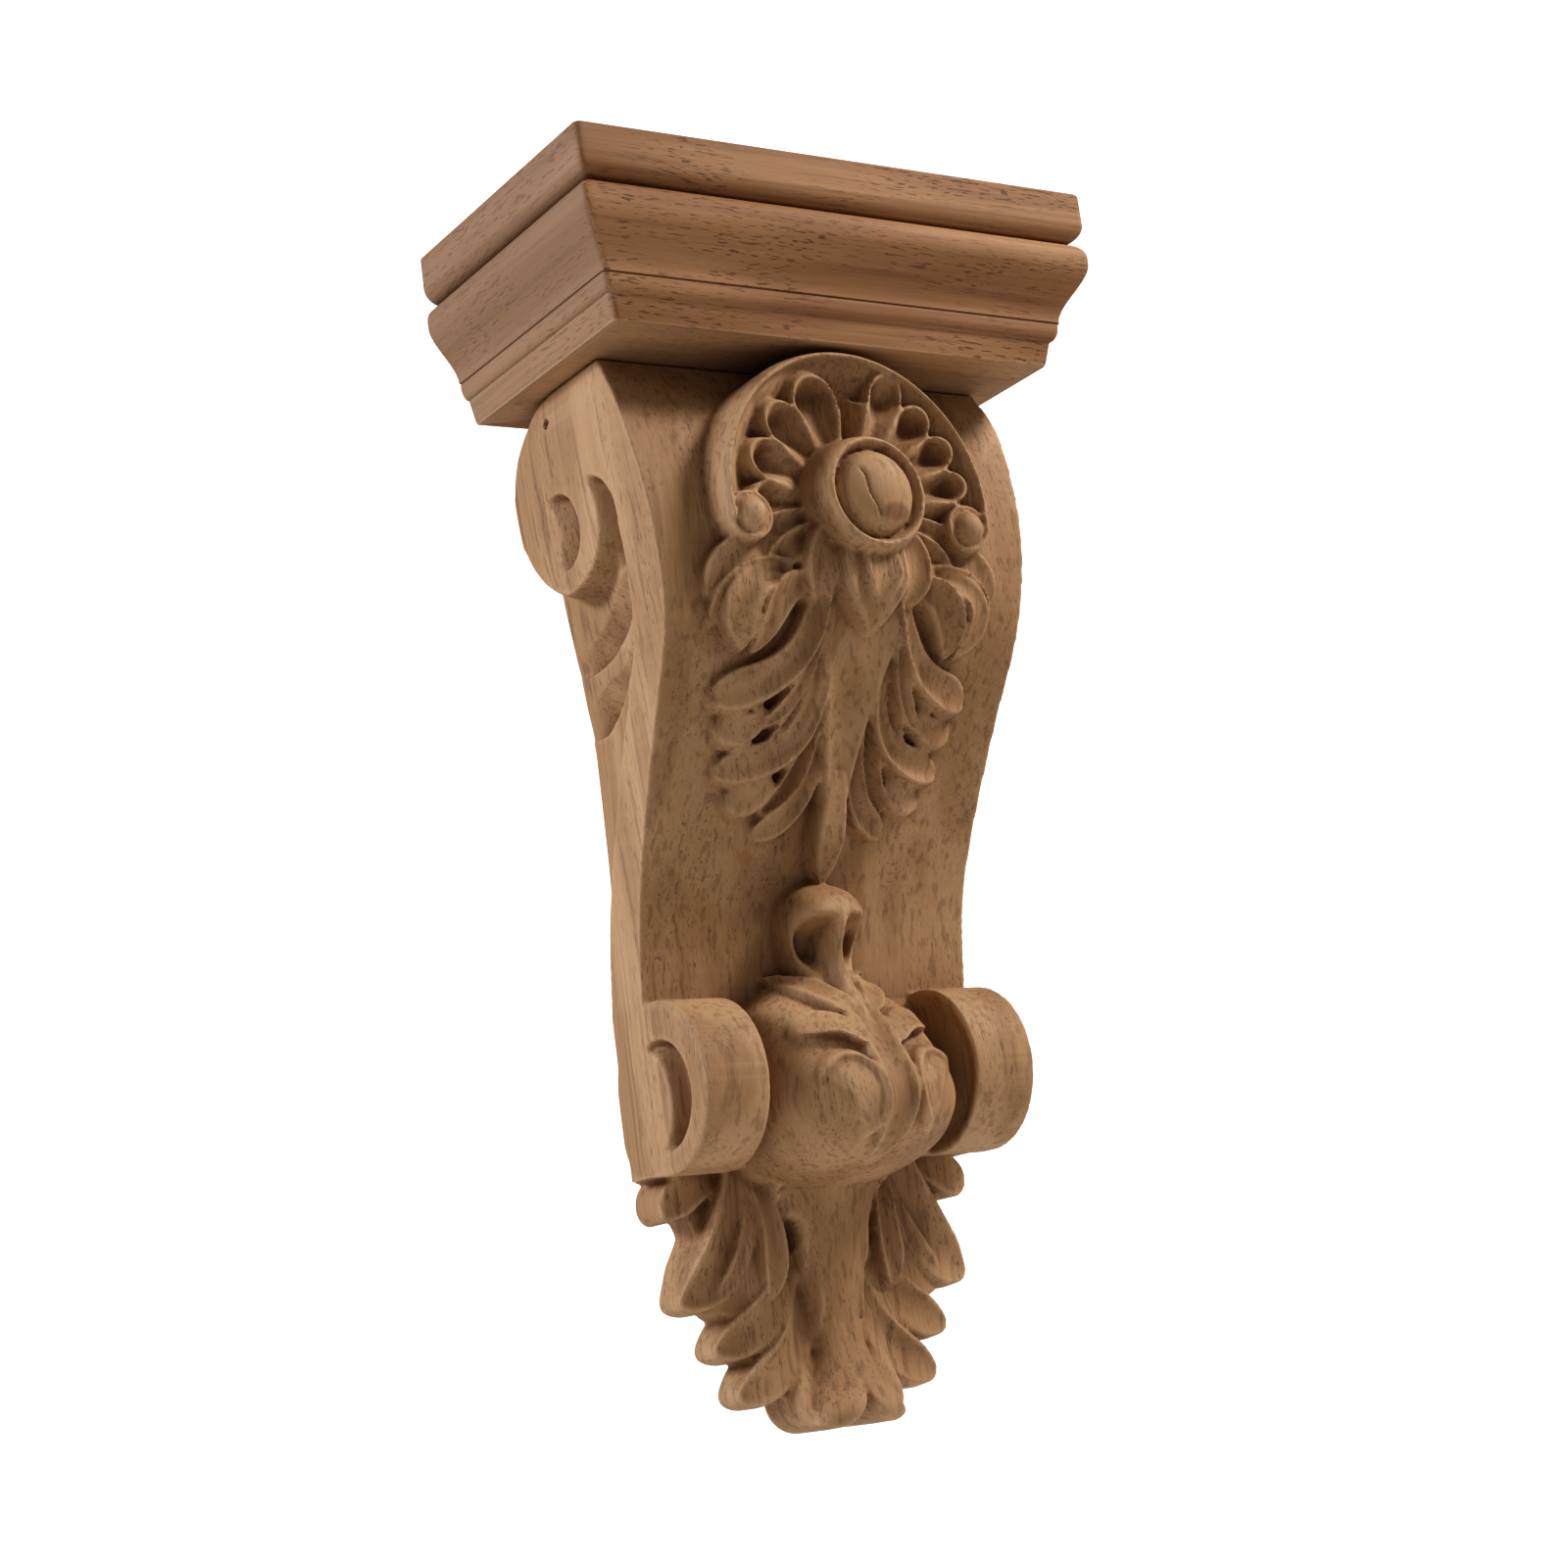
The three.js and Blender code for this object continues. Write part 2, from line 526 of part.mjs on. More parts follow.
// A cap board: rings that run from the wall round the front corners and back, one for each level of its
// profile.
const CORNER_STEPS = 3;
function capRing(inset, level) {
  const side = CAP_WIDTH / 2 - inset;
  const front = CAP_DEPTH - inset;
  const ring = [[-side, 0, level]];
  for (const sign of [-1, 1]) {
    for (let k = 0; k <= CORNER_STEPS; k += 1) {
      const turn = (Math.PI / 2) * (k / CORNER_STEPS);
      const swing = sign < 0 ? turn : Math.PI / 2 - turn;
      const x = sign * (side - CORNER_RADIUS * (1 - Math.cos(swing)));
      ring.push([x, -front + CORNER_RADIUS * (1 - Math.sin(swing)), level]);
    }
  }
  ring.push([side, 0, level]);
  return ring;
}
function capBoard(name, profile, material) {
  const rings = profile.map(([inset, level]) => capRing(inset, level));
  const middle = ([, level]) => [0, -CAP_DEPTH / 2, level];
  const { vertices, faces } = ringSurface(rings, middle(profile[0]), middle(profile[profile.length - 1]));
  return meshFrom(name, vertices, faces, material);
}

// Profiles, from the top down, as [inset from the cap's outline, height]. curve samples one stretch of
// moulding.
const quarter = (t) => [1 - Math.cos((Math.PI / 2) * t), Math.sin((Math.PI / 2) * t)];
const jointLevel = CAP_TOP - TOP_BOARD_THICKNESS;
function topBoardProfile() {
  const arris = curve(2, (t) => [
    TOP_BOARD_ARRIS * (1 - quarter(t)[1]),
    CAP_TOP - TOP_BOARD_ARRIS * quarter(t)[0],
  ]);
  const bullnose = curve(5, (t) => [
    JOINT_GROOVE_DEPTH * quarter(t)[0],
    jointLevel + JOINT_GROOVE_HEIGHT * (1 - quarter(t)[1]),
  ]);
  return [...arris, ...bullnose];
}
function mouldingProfile() {
  const top = jointLevel - JOINT_GAP;
  const widest = top - JOINT_GROOVE_HEIGHT;
  const foot = top - MOULDING_THICKNESS;
  const ogeeFoot = widest - OGEE_HEIGHT;
  const shoulder = curve(4, (t) => [
    JOINT_GROOVE_DEPTH * (1 - quarter(t)[1]),
    top - JOINT_GROOVE_HEIGHT * quarter(t)[0],
  ]);
  const ogee = curve(8, (t) => [OGEE_INSET * ease(t), widest - 1.5 - (OGEE_HEIGHT - 1.5) * t]);
  const bead = curve(6, (t) => [
    OGEE_INSET + BEAD_RADIUS * (1 - Math.sin(Math.PI * t)),
    ogeeFoot - BEAD_RADIUS * (1 - Math.cos(Math.PI * t)),
  ]);
  const step = [[CAP_FOOT_INSET - 1.2, ogeeFoot - BEAD_RADIUS * 2 - 0.6], [CAP_FOOT_INSET, foot]];
  return [...shoulder, ...ogee, ...bead, ...step];
}

const wood = (name, color) => new THREE.MeshStandardMaterial({ name, color, roughness: 0.72, metalness: 0 });
const capWood = wood('cap wood', 0xa87f5c);
const bodyWood = wood('body wood', 0xa5815c);

const corbel = new THREE.Group();
corbel.name = 'carved_corbel';
corbel.add(capBoard('top_board', topBoardProfile(), capWood));
corbel.add(capBoard('moulded_board', mouldingProfile(), capWood));
corbel.add(carvedBody(bodyWood));

export default corbel;
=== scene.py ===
# %% [markdown]
# # A carved wooden corbel
# The object is a bracket of bare, sanded hardwood: a moulded cap of two boards over a body that is carved
# as one block into an S-shaped scroll. On its front are a half shell round a button, acanthus leaves on a
# stem, a leafy boss between two rolled volutes, and a ragged leafy tail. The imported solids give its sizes
# and its place. Here the same forms are made again as fine surfaces, worked out with numpy, and dressed in
# a procedural wood.

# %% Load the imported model
from math import comb, cos, pi, radians, sin

import bpy
import numpy as np
from mathutils import Matrix, Vector


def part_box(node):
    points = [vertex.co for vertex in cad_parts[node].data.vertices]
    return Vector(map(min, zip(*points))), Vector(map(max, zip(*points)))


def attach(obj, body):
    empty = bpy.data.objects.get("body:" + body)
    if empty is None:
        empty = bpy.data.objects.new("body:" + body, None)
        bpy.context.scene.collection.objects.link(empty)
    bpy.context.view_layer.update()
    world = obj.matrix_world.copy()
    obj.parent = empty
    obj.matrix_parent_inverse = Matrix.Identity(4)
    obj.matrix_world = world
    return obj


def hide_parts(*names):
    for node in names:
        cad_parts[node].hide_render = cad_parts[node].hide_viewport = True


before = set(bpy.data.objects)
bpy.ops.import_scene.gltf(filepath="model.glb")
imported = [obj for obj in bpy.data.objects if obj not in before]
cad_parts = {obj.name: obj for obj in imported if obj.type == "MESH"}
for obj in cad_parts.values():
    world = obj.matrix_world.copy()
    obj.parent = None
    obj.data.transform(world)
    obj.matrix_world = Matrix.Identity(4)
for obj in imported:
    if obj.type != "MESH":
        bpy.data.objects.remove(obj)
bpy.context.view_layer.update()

MM = 0.001
PHOTO_SIDE = 1600

# %% [markdown]
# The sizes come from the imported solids, read as boxes in millimetres. The carving is then drawn at places
# across and up the body, as a carver marks them out, with its depth measured forward from the wall.

# %% Sizes of the three pieces
def box_mm(node):
    """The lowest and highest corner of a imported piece, in millimetres."""
    return [np.array(corner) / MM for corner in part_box(node)]


SLAB_LOW, SLAB_HIGH = box_mm("top_board")
MOULD_LOW, MOULD_HIGH = box_mm("moulded_board")
BODY_LOW, BODY_HIGH = box_mm("carved_body")
CAP_HALF_WIDTH = SLAB_HIGH[0]
CAP_DEPTH = -SLAB_LOW[1]
BODY_TOP = BODY_HIGH[2]
BODY_END = BODY_LOW[2]
print("cap", CAP_HALF_WIDTH * 2, "by", CAP_DEPTH, "mm")
print("body from", round(BODY_TOP, 1), "to", round(BODY_END, 1), "mm")

# %% [markdown]
# A few curves serve every form. An eased step rises smoothly from 0 to 1, a dome is a quarter circle, a
# bell is a soft bump. `curve_through` joins measured values at falling heights into one smooth line.

# %% Curves
def clamp01(t):
    return np.clip(t, 0, 1)


def ramp(start, end, t):
    """Rises from 0 at start to 1 at end along 3t squared minus 2t cubed."""
    t = clamp01((t - start) / (end - start))
    return t * t * (3 - 2 * t)


def mix(a, b, t):
    return a + (b - a) * t


def dome(t):
    """The square root of 1 minus t squared: a quarter circle from 1 at 0 down to 0 at 1."""
    return np.sqrt(np.clip(1 - np.square(t), 0, None))


def bell(t):
    """e to the minus t squared: a soft bump round 0."""
    return np.exp(-np.square(t))


def curve_through(levels, values):
    """Cubic pieces between falling levels; the slope at a level is the one between its two neighbours."""
    levels, values = np.array(levels, float), np.array(values, float)
    last = len(levels) - 1
    before = np.maximum(np.arange(last + 1) - 1, 0)
    after = np.minimum(np.arange(last + 1) + 1, last)
    slopes = (values[after] - values[before]) / (levels[after] - levels[before])

    def at(level):
        level = np.clip(level, levels[-1], levels[0])
        i = np.clip(np.searchsorted(-levels, -level, side="right") - 1, 0, last - 1)
        step = levels[i + 1] - levels[i]
        t = (level - levels[i]) / step
        lift = (1 + 2 * t) * (1 - t) ** 2 * values[i] + t * t * (3 - 2 * t) * values[i + 1]
        return lift + step * t * (1 - t) * ((1 - t) * slopes[i] - t * slopes[i + 1])

    return at


print("a ramp from 0 to 1, a quarter and halfway up:", ramp(0, 1, 0.25), ramp(0, 1, 0.5))

# %% [markdown]
# Every form is a tube: rings of points joined one to the next and closed at both ends. Forms may run into
# each other, because a voxel remesh later melts them into one skin, as if they had been cut from one block.
# They run on a little behind the wall, and the block is then cut flat there.

# %% Tubes of points
BEHIND_WALL = -2.0


def tube(rings):
    """Joins rings of points, given as an array of rings by points by 3, into a closed skin."""
    count, around = rings.shape[:2]
    number = np.arange(count * around).reshape(count, around)
    beside = np.roll(number, -1, axis=1)
    sides = np.stack([number[:-1], beside[:-1], beside[1:], number[1:]], axis=-1).reshape(-1, 4)
    return rings.reshape(-1, 3), [sides, number[:1], number[-1:, ::-1]]


def joined(skins):
    """Puts several skins into one list of points and faces."""
    points, faces, start = [], [], 0
    for vertices, blocks in skins:
        points.append(vertices)
        faces.extend(block + start for block in blocks)
        start += len(vertices)
    return np.concatenate(points), faces


def mesh_from(name, points, faces):
    """Makes a mesh from points of (across, depth from the wall, height) in millimetres and blocks of
    faces."""
    mesh = bpy.data.meshes.new(name)
    sizes = np.concatenate([np.full(len(block), block.shape[1]) for block in faces])
    corners = np.concatenate([block.ravel() for block in faces])
    mesh.vertices.add(len(points))
    mesh.vertices.foreach_set("co", (points * [MM, -MM, MM]).ravel())
    mesh.loops.add(len(corners))
    mesh.loops.foreach_set("vertex_index", corners.astype(np.int32))
    mesh.polygons.add(len(sizes))
    mesh.polygons.foreach_set("loop_start", (np.cumsum(sizes) - sizes).astype(np.int32))
    mesh.update(calc_edges=True)
    mesh.validate()
    return mesh


# %% [markdown]
# The trunk is the S-shaped block before any leaf is cut. Its front is a plain curved face whose depth and
# width change with height. Its sides are hollowed behind a plain band: a round scroll at the top with two
# crescent cuts, then two sweeping flutes, and a plain slope below them. Places on a side are given as depth
# from the wall and height, and the lines across it as heights at falling depths.

# %% The trunk's face and sides
FACE_LEVELS = [105.4, 94, 80, 63, 46, 34, 16, -8, -26, -48]
FACE_DEPTHS = [48.4, 54.9, 59.2, 61.5, 59.8, 55.6, 44.4, 30.8, 23.1, 18.6]
EDGE_LEVELS = [105.4, 94, 60, 34, 4, -24, -50]
EDGE_HALF_WIDTHS = [56.9, 57.5, 55, 52.1, 50, 48.6, 48.4]
face_depth = curve_through(FACE_LEVELS, FACE_DEPTHS)
face_half_width = curve_through(EDGE_LEVELS, EDGE_HALF_WIDTHS)
SIDE_BAND = 15
SIDE_RECESS = 9.7
SCROLL_CENTRE = (24, 80)
SCROLL_RADIUS = 25
SCROLL_ROUNDING = 1.4
CRESCENTS = [
    dict(outer=(34.5, 67.8), outer_radius=12.1, inner=(22.5, 71), inner_radius=15.6, depth=7.2, fall=3.4),
    dict(outer=(19.5, 70.8), outer_radius=9.7, inner=(9, 71), inner_radius=11, depth=6.5, fall=7),
]
CUT_WALL = 1.2
scroll_foot = curve_through(
    [47, 43, 40.2, 38, 34.5, 29.2, 23.6, 18, 13, 9, 6, 3, 1, 0],
    [70, 67, 65, 63.4, 61, 57.7, 56, 55.7, 57.5, 60, 62.6, 66.5, 70.2, 73],
)
upper_flute_top = curve_through(
    [46, 41.6, 34.8, 28.5, 22, 15.7, 10, 4.8, 0],
    [65, 61.2, 56.4, 53.2, 50, 47.8, 46, 44.4, 43.5],
)
upper_flute_foot = curve_through(
    [44, 36.8, 32.3, 25.9, 19.3, 12.6, 6.7, 0],
    [52, 46.6, 44.2, 42.2, 40.6, 39.9, 39.5, 39.5],
)
lower_flute_top = curve_through(
    [40, 34, 29.2, 25.7, 19.3, 13.7, 7.3, 0],
    [44, 40, 37.6, 36.2, 35.4, 34.7, 33.5, 31],
)
lower_flute_foot = curve_through(
    [36, 31, 27.1, 23, 18.7, 13.6, 7.7, 0],
    [40, 36.5, 33.3, 30, 27.8, 25.7, 23.8, 23.6],
)
FLUTES = [(upper_flute_top, upper_flute_foot), (lower_flute_top, lower_flute_foot)]
FLUTE_WIDTH = 8.5
FLUTE_DEPTH = 7.5
FLUTE_STEP = 0.9
FOOT_STEP = 2.4
wall_recess = curve_through([20, -10, -24, -42, -52, -88], [9.7, 7.5, 6.2, 4.1, 3.1, 3.1])
TRUNK_END = -88
TRUNK_RINGS, SIDE_STEPS, FACE_STEPS = 420, 150, 120


def distance(a, b, centre):
    return np.hypot(a - centre[0], b - centre[1])


def crescent_cut(forward, z, outer, outer_radius, inner, inner_radius, depth, fall):
    """A cut between two circles: a steep wall along the outer one, and an even fall from the inner one."""
    inside = outer_radius - distance(forward, z, outer)
    outside = distance(forward, z, inner) - inner_radius
    return depth * clamp01(inside / CUT_WALL) * clamp01(outside / fall)


def side_relief(forward, z, edge):
    """How far the side lies inside the face's edge. The scroll is flat but for the crescents. Under its
    foot the side is sunk behind the band, less so away from the wall. Each flute there falls evenly from
    its top line to its foot line and comes back in a steep step; it fades out at the wall."""
    crescent = np.maximum.reduce([crescent_cut(forward, z, **cut) for cut in CRESCENTS])
    u = clamp01(forward / (edge - SIDE_BAND))
    share = mix(0.06, 1, ramp(0, 0.3, u))
    slope = wall_recess(z) * (1 - 0.7 * u * u)
    for flute_top, flute_foot in FLUTES:
        step = ramp(-FLUTE_STEP, 0.1, z - flute_foot(forward))
        fall = clamp01((flute_top(forward) - z) / FLUTE_WIDTH) * step
        slope = slope + FLUTE_DEPTH * share * fall
    slope = slope * ramp(1, 0.965, u)
    scroll = distance(forward, z, SCROLL_CENTRE) / SCROLL_RADIUS
    over = np.where(forward < SCROLL_CENTRE[0], SIDE_RECESS * ramp(0.99, 1.08, scroll), 0)
    under = np.maximum(crescent, slope * ramp(0, FOOT_STEP, scroll_foot(forward) - z))
    rounded = SCROLL_ROUNDING * (1 - dome(np.minimum(scroll * 0.98, 1))) * ramp(20, 8, forward)
    return np.where(z > SCROLL_CENTRE[1], over, under) + rounded * (scroll < 1.08)


def trunk():
    """Rings at falling heights: along the left side, round the front and back along the right side."""
    z = np.linspace(BODY_TOP, TRUNK_END, TRUNK_RINGS)[:, None]
    edge = face_depth(z)
    half = face_half_width(z)
    s = np.linspace(0, 1, SIDE_STEPS)[None, :]
    forward = mix(BEHIND_WALL, edge, s)
    side = half - side_relief(np.maximum(forward, 0), z + 0 * s, edge)
    across = mix(-1, 1, np.linspace(0, 1, FACE_STEPS)[1:-1])[None, :] * half
    x = np.concatenate([-side, across, side[:, ::-1]], axis=1)
    depth = np.concatenate([forward, edge + 0 * across, forward[:, ::-1]], axis=1)
    return tube(np.stack([x, depth, z + 0 * x], axis=-1))


trunk_skin = trunk()
print(len(trunk_skin[0]), "points on the trunk")

# %% [markdown]
# Below the trunk come the two rolled volutes. Each is a roll turned on a level axis, as on a lathe. Its
# outer end is cut with a crescent that leaves a raised rim and an oval eye, and its inner end is a shallow
# dish.

# %% The volutes
VOLUTE_CENTRE = (22.2, -68)
VOLUTE_RADIUS = 20.8
VOLUTE_INNER = 30.3
VOLUTE_OUTER = 48.6
EYE_CENTRE, EYE_SIZE = (19.5, -71), (7, 11.5)
CUT_CENTRE, CUT_RADIUS, CUT_DEPTH = (22.5, -70), 13.4, 5.5
DISH_DEPTH = 2.2
ROLL_ROUNDING = 0.9
DISH_STEPS, ROLL_STEPS, CUT_STEPS, TURN_STEPS = 24, 30, 60, 180


def volute(side):
    """A lathe along the level axis: out along the dished inner end, along the roll, and back in on the
    outer end, where the cut has its full depth between the oval eye and the outer circle. Underneath, the
    roll runs straight back to the wall."""
    inner = np.stack([np.linspace(0, 1, DISH_STEPS), np.full(DISH_STEPS, VOLUTE_INNER)])
    roll = np.stack([np.ones(ROLL_STEPS), np.linspace(VOLUTE_INNER, VOLUTE_OUTER, ROLL_STEPS + 2)[1:-1]])
    outer = np.stack([np.linspace(1, 0, CUT_STEPS), np.full(CUT_STEPS, VOLUTE_OUTER)])
    share, x = np.concatenate([inner, roll, outer], axis=1)[:, :, None]
    turn = np.linspace(0, 2 * pi, TURN_STEPS, endpoint=False)[None, :]
    rise = np.sin(turn)
    rise = np.where((rise < 0) & (np.cos(turn) < 0), -np.abs(rise) ** 0.3, rise)
    forward = VOLUTE_CENTRE[0] + VOLUTE_RADIUS * share * np.cos(turn)
    z = VOLUTE_CENTRE[1] + VOLUTE_RADIUS * share * rise
    eye = np.hypot((forward - EYE_CENTRE[0]) / EYE_SIZE[0], (z - EYE_CENTRE[1]) / EYE_SIZE[1])
    cut = CUT_DEPTH * clamp01((CUT_RADIUS - distance(forward, z, CUT_CENTRE)) / 1.3) * ramp(0.95, 1.3, eye)
    outer_end = x == VOLUTE_OUTER
    inner_end = x == VOLUTE_INNER
    x = x - outer_end * (cut + ROLL_ROUNDING * ramp(0.93, 1.0, share))
    x = x + inner_end * DISH_DEPTH * ramp(1.0, 0.7, share)
    return tube(np.stack([side * x, np.maximum(forward, BEHIND_WALL), z], axis=-1))


volutes = [volute(1), volute(-1)]
print(len(volutes), "volutes of", len(volutes[0][0]), "points each")

# %% [markdown]
# Between the volutes stands an egg-shaped boss. It is a mound on the wall: its reach and its width are
# curves of the height, and across it the depth falls off like a flattened dome.

# %% The boss
BOSS_LEVELS = [-40, -49.7, -55.3, -64, -70.6, -76.6, -82, -87.5, -92, -95]
BOSS_DEPTHS = [17, 33, 39, 45.5, 49.8, 51.5, 50, 44.5, 34, 20]
boss_reach = curve_through(BOSS_LEVELS, BOSS_DEPTHS)
BOSS_HALF_WIDTHS = [12, 22, 25, 27.5, 28.5, 28.5, 27, 24, 18, 10]
boss_half = curve_through(BOSS_LEVELS, BOSS_HALF_WIDTHS)


def boss_depth(x, z):
    """The reach at this height, times a flattened dome across the boss."""
    s = np.minimum(np.abs(x) / boss_half(z), 1)
    return boss_reach(z) * dome(s ** 1.7) ** 0.62


def mound(z, half, front):
    """Rings at falling heights: across the front at its depth, and back along the wall."""
    z = z[:, None]
    x = np.sin(np.linspace(-pi / 2, pi / 2, 180))[None, :] * half(z)
    depth = front(x, z + 0 * x)
    return tube(np.stack([
        np.concatenate([x, x[:, ::-1]], axis=1),
        np.concatenate([depth, BEHIND_WALL + 0 * x], axis=1),
        np.concatenate([z + 0 * x, z + 0 * x], axis=1),
    ], axis=-1))


boss = mound(np.linspace(BOSS_LEVELS[0], BOSS_LEVELS[-1], 120), boss_half, boss_depth)
print("the boss stands out", max(BOSS_DEPTHS), "mm from the wall")

# %% [markdown]
# The tail's core is a low edge round a stem that is hollowed and then flares into a lip. Leaves are laid on
# it later and cut straight back to the wall, which gives its ragged outline.

# %% The tail's core
TAIL_LEVELS = [-86, -103, -125, -141, -148]
TAIL_HALF_WIDTHS = [42, 35.5, 29, 19, 9]
tail_half = curve_through(TAIL_LEVELS, TAIL_HALF_WIDTHS)
TAIL_EDGE_DEPTH = 9
STEM_LEVELS = [-86, -95, -104, -114, -124, -132, -140, -147, -151]
STEM_DEPTHS = [26, 23, 20.5, 18.5, 16, 15, 16, 17.5, 15.5]
STEM_HALF_WIDTHS = [22, 15.5, 12, 9.5, 7.5, 7, 8.5, 12, 14]
stem_depth = curve_through(STEM_LEVELS, STEM_DEPTHS)
stem_half = curve_through(STEM_LEVELS, STEM_HALF_WIDTHS)


def tail_depth(x, z):
    """A low ground, and over it a round stem: the stem's rise times a dome across its width."""
    stem = (stem_depth(z) - TAIL_EDGE_DEPTH) * dome(np.minimum(np.abs(x) / stem_half(z), 1)) ** 0.8
    return TAIL_EDGE_DEPTH + stem


def tail_front(x, z):
    return tail_depth(x, z) * mix(0.6, 1, dome(ramp(-143, TAIL_LEVELS[-1], z)))


tail_core = mound(np.linspace(TAIL_LEVELS[0], TAIL_LEVELS[-1], 140), tail_half, tail_front)
print("the tail's core is", TAIL_LEVELS[0] - TAIL_LEVELS[-1], "mm long")

# %% [markdown]
# A leaf is one gouge stroke: a spine drawn across the front, a width along it, and a scooped section with
# crisp raised edges that sinks into the ground. Strokes that overlap make the acanthus, as a carver cuts it
# lobe by lobe.

# %% The ground and the leaf strokes
STROKE_STEPS = 64
SECTION = np.array([-1.12, -1.06, -1, -0.96, -0.9, -0.8, -0.65, -0.45, -0.22, 0,
                    0.22, 0.45, 0.65, 0.8, 0.9, 0.96, 1, 1.06, 1.12])
SINK = 3.0


def ground(x, z):
    """Depth of the face, and of the boss where it stands out further."""
    on_boss = (z < BOSS_LEVELS[0]) & (z > BOSS_LEVELS[-1])
    return np.where(on_boss, np.maximum(face_depth(z), boss_depth(x, z)), face_depth(z))


def along(values, t):
    """A smooth curve that starts at the first value, ends at the last and leans towards those between."""
    values = np.array(values, float)
    n = len(values) - 1
    weights = np.stack([comb(n, k) * t ** k * (1 - t) ** (n - k) for k in range(n + 1)], axis=1)
    return weights @ values


def stroke(spine, widths, heights, scoop=0.45, tilt=0.0, tip=0.3, sharp=0.5, root=0.0,
           side=1, on=ground, back=None):
    """Rings along the spine. Across a ring the height is the stroke's height, less a scoop that is
    deepest in the middle, and falls to the ground outside the crisp edges; the tip narrows as a dome
    raised to a power, and so does the root where it has a length."""
    t = 1 - (1 - np.linspace(0, 1, STROKE_STEPS)) ** 1.25
    path = along(spine, t)
    ahead = np.gradient(path, axis=0)
    ahead /= np.linalg.norm(ahead, axis=1)[:, None]
    closing = dome(np.maximum(0, (t - 1 + tip) / tip)) ** (2 * sharp)
    if root:
        closing = closing * dome(np.maximum(0, (root - t) / root))
    closing = np.maximum(closing, 0.03)
    half = (along(widths, t) * closing)[:, None]
    s = SECTION[None, :]
    x = path[:, :1] - ahead[:, 1:] * half * s
    z = path[:, 1:] + ahead[:, :1] * half * s
    inside = np.minimum(np.abs(s), 1)
    bowl = 1 - scoop * (1 - np.minimum(inside / 0.9, 1) ** 2.2)
    edge = dome(np.maximum(0, (inside - 0.78) / 0.22)) ** 0.7
    lift = (along(heights, t) * closing ** 0.35)[:, None] * bowl * edge * (1 + tilt * s)
    under = SINK * ramp(1.0, 1.12, np.abs(s))
    depth = on(x, z) + lift - under
    first = np.stack([side * x, depth, z], axis=-1)
    low = depth - SINK if back is None else np.full_like(depth, back)
    ends = [0, -1]
    behind = np.stack([side * x[:, ends], low[:, ends], z[:, ends]], axis=-1)[:, ::-1]
    return tube(np.concatenate([first, behind], axis=1))


def both_sides(leaves, **how):
    return [stroke(**leaf, **how, side=side) for leaf in leaves for side in (1, -1)]


# %% [markdown]
# The front leaves hang from the button and from a long stem. They are drawn for the right half and
# mirrored.

# %% Leaves of the front
PETALS = [
    dict(spine=[(6, 58), (14, 55), (15, 48), (13, 40.5)], widths=[5, 5.5, 5.5, 4], heights=[9, 11, 11.5, 10],
         scoop=0.18),
    dict(spine=[(10, 58), (20, 56), (25, 51), (26.5, 45)], widths=[3, 4, 4.5, 3],
         heights=[7, 9, 8, 4], scoop=0.4),
    dict(spine=[(14, 61), (24, 60), (30, 56), (31.5, 51)], widths=[3, 4, 4, 3],
         heights=[7, 8, 7, 3], scoop=0.4),
    dict(spine=[(24, 54), (32, 56), (39, 51), (41, 42)], widths=[2, 4, 5.5, 3.5], heights=[4, 6.5, 6.5, 2],
         scoop=0.25),
]
EYE_LEAF = [
    dict(spine=[(16, 48), (28, 51), (39, 47), (40, 36)], widths=[2, 3, 3.5, 2.5],
         heights=[6, 8, 7, 2], scoop=0.3),
    dict(spine=[(24, 47), (34.5, 47), (38, 38), (31, 30.5)], widths=[3, 4.6, 5.4, 2.2],
         heights=[7, 9.5, 9.5, 7], scoop=0.25, tilt=-0.25),
    dict(spine=[(17, 45), (24, 45), (26.5, 37), (28.5, 30)], widths=[3, 4.8, 5, 2.2],
         heights=[7, 9.5, 9.5, 7], scoop=0.25, tilt=0.2),
]
STEM_LEAVES = [
    dict(spine=[(12, 47), (14, 27), (22, 23), (38, 21)], widths=[2.2, 3.8, 5, 5.4], heights=[7, 9, 9, 4],
         scoop=0.3, tilt=-0.3, tip=0.2),
    dict(spine=[(22, 19), (25, 13), (30, 12), (35, 16)], widths=[1.5, 3.5, 4.4, 3.6], heights=[5, 6.5, 6, 2],
         scoop=0.12, tip=0.3, root=0.2),
    dict(spine=[(12, 36), (13, 25), (16, 18), (24, 14)], widths=[1.2, 2.2, 2.4, 1.6],
         heights=[7, 10, 9.5, 6], scoop=0.3),
    dict(spine=[(11, 32), (10, 20), (14, 12), (21.5, 9)], widths=[1.2, 3, 4, 3], heights=[6, 8.5, 8, 5],
         scoop=0.8, tip=0.4),
    dict(spine=[(9, 32), (9, 10), (15, 7), (33.5, 5)], widths=[1.8, 3.4, 4.6, 4.8],
         heights=[6, 8.5, 8.5, 3.5], scoop=0.3, tilt=-0.3, tip=0.2),
    dict(spine=[(17, 4), (19, -2), (24, -3), (29, 0)], widths=[1.5, 3.2, 4, 3.4], heights=[4.5, 6, 5.5, 2],
         scoop=0.12, tip=0.3, root=0.2),
    dict(spine=[(8, 22), (8, 9), (11, 1), (18, -4)], widths=[1.2, 2.6, 3.4, 2.6], heights=[5.5, 8.5, 8, 5],
         scoop=0.75, tip=0.4),
    dict(spine=[(5, 14), (5, 2), (9, -6), (20, -9)], widths=[1.2, 2.6, 3.8, 3.4], heights=[5, 7, 6.5, 3],
         scoop=0.4, tip=0.25),
]
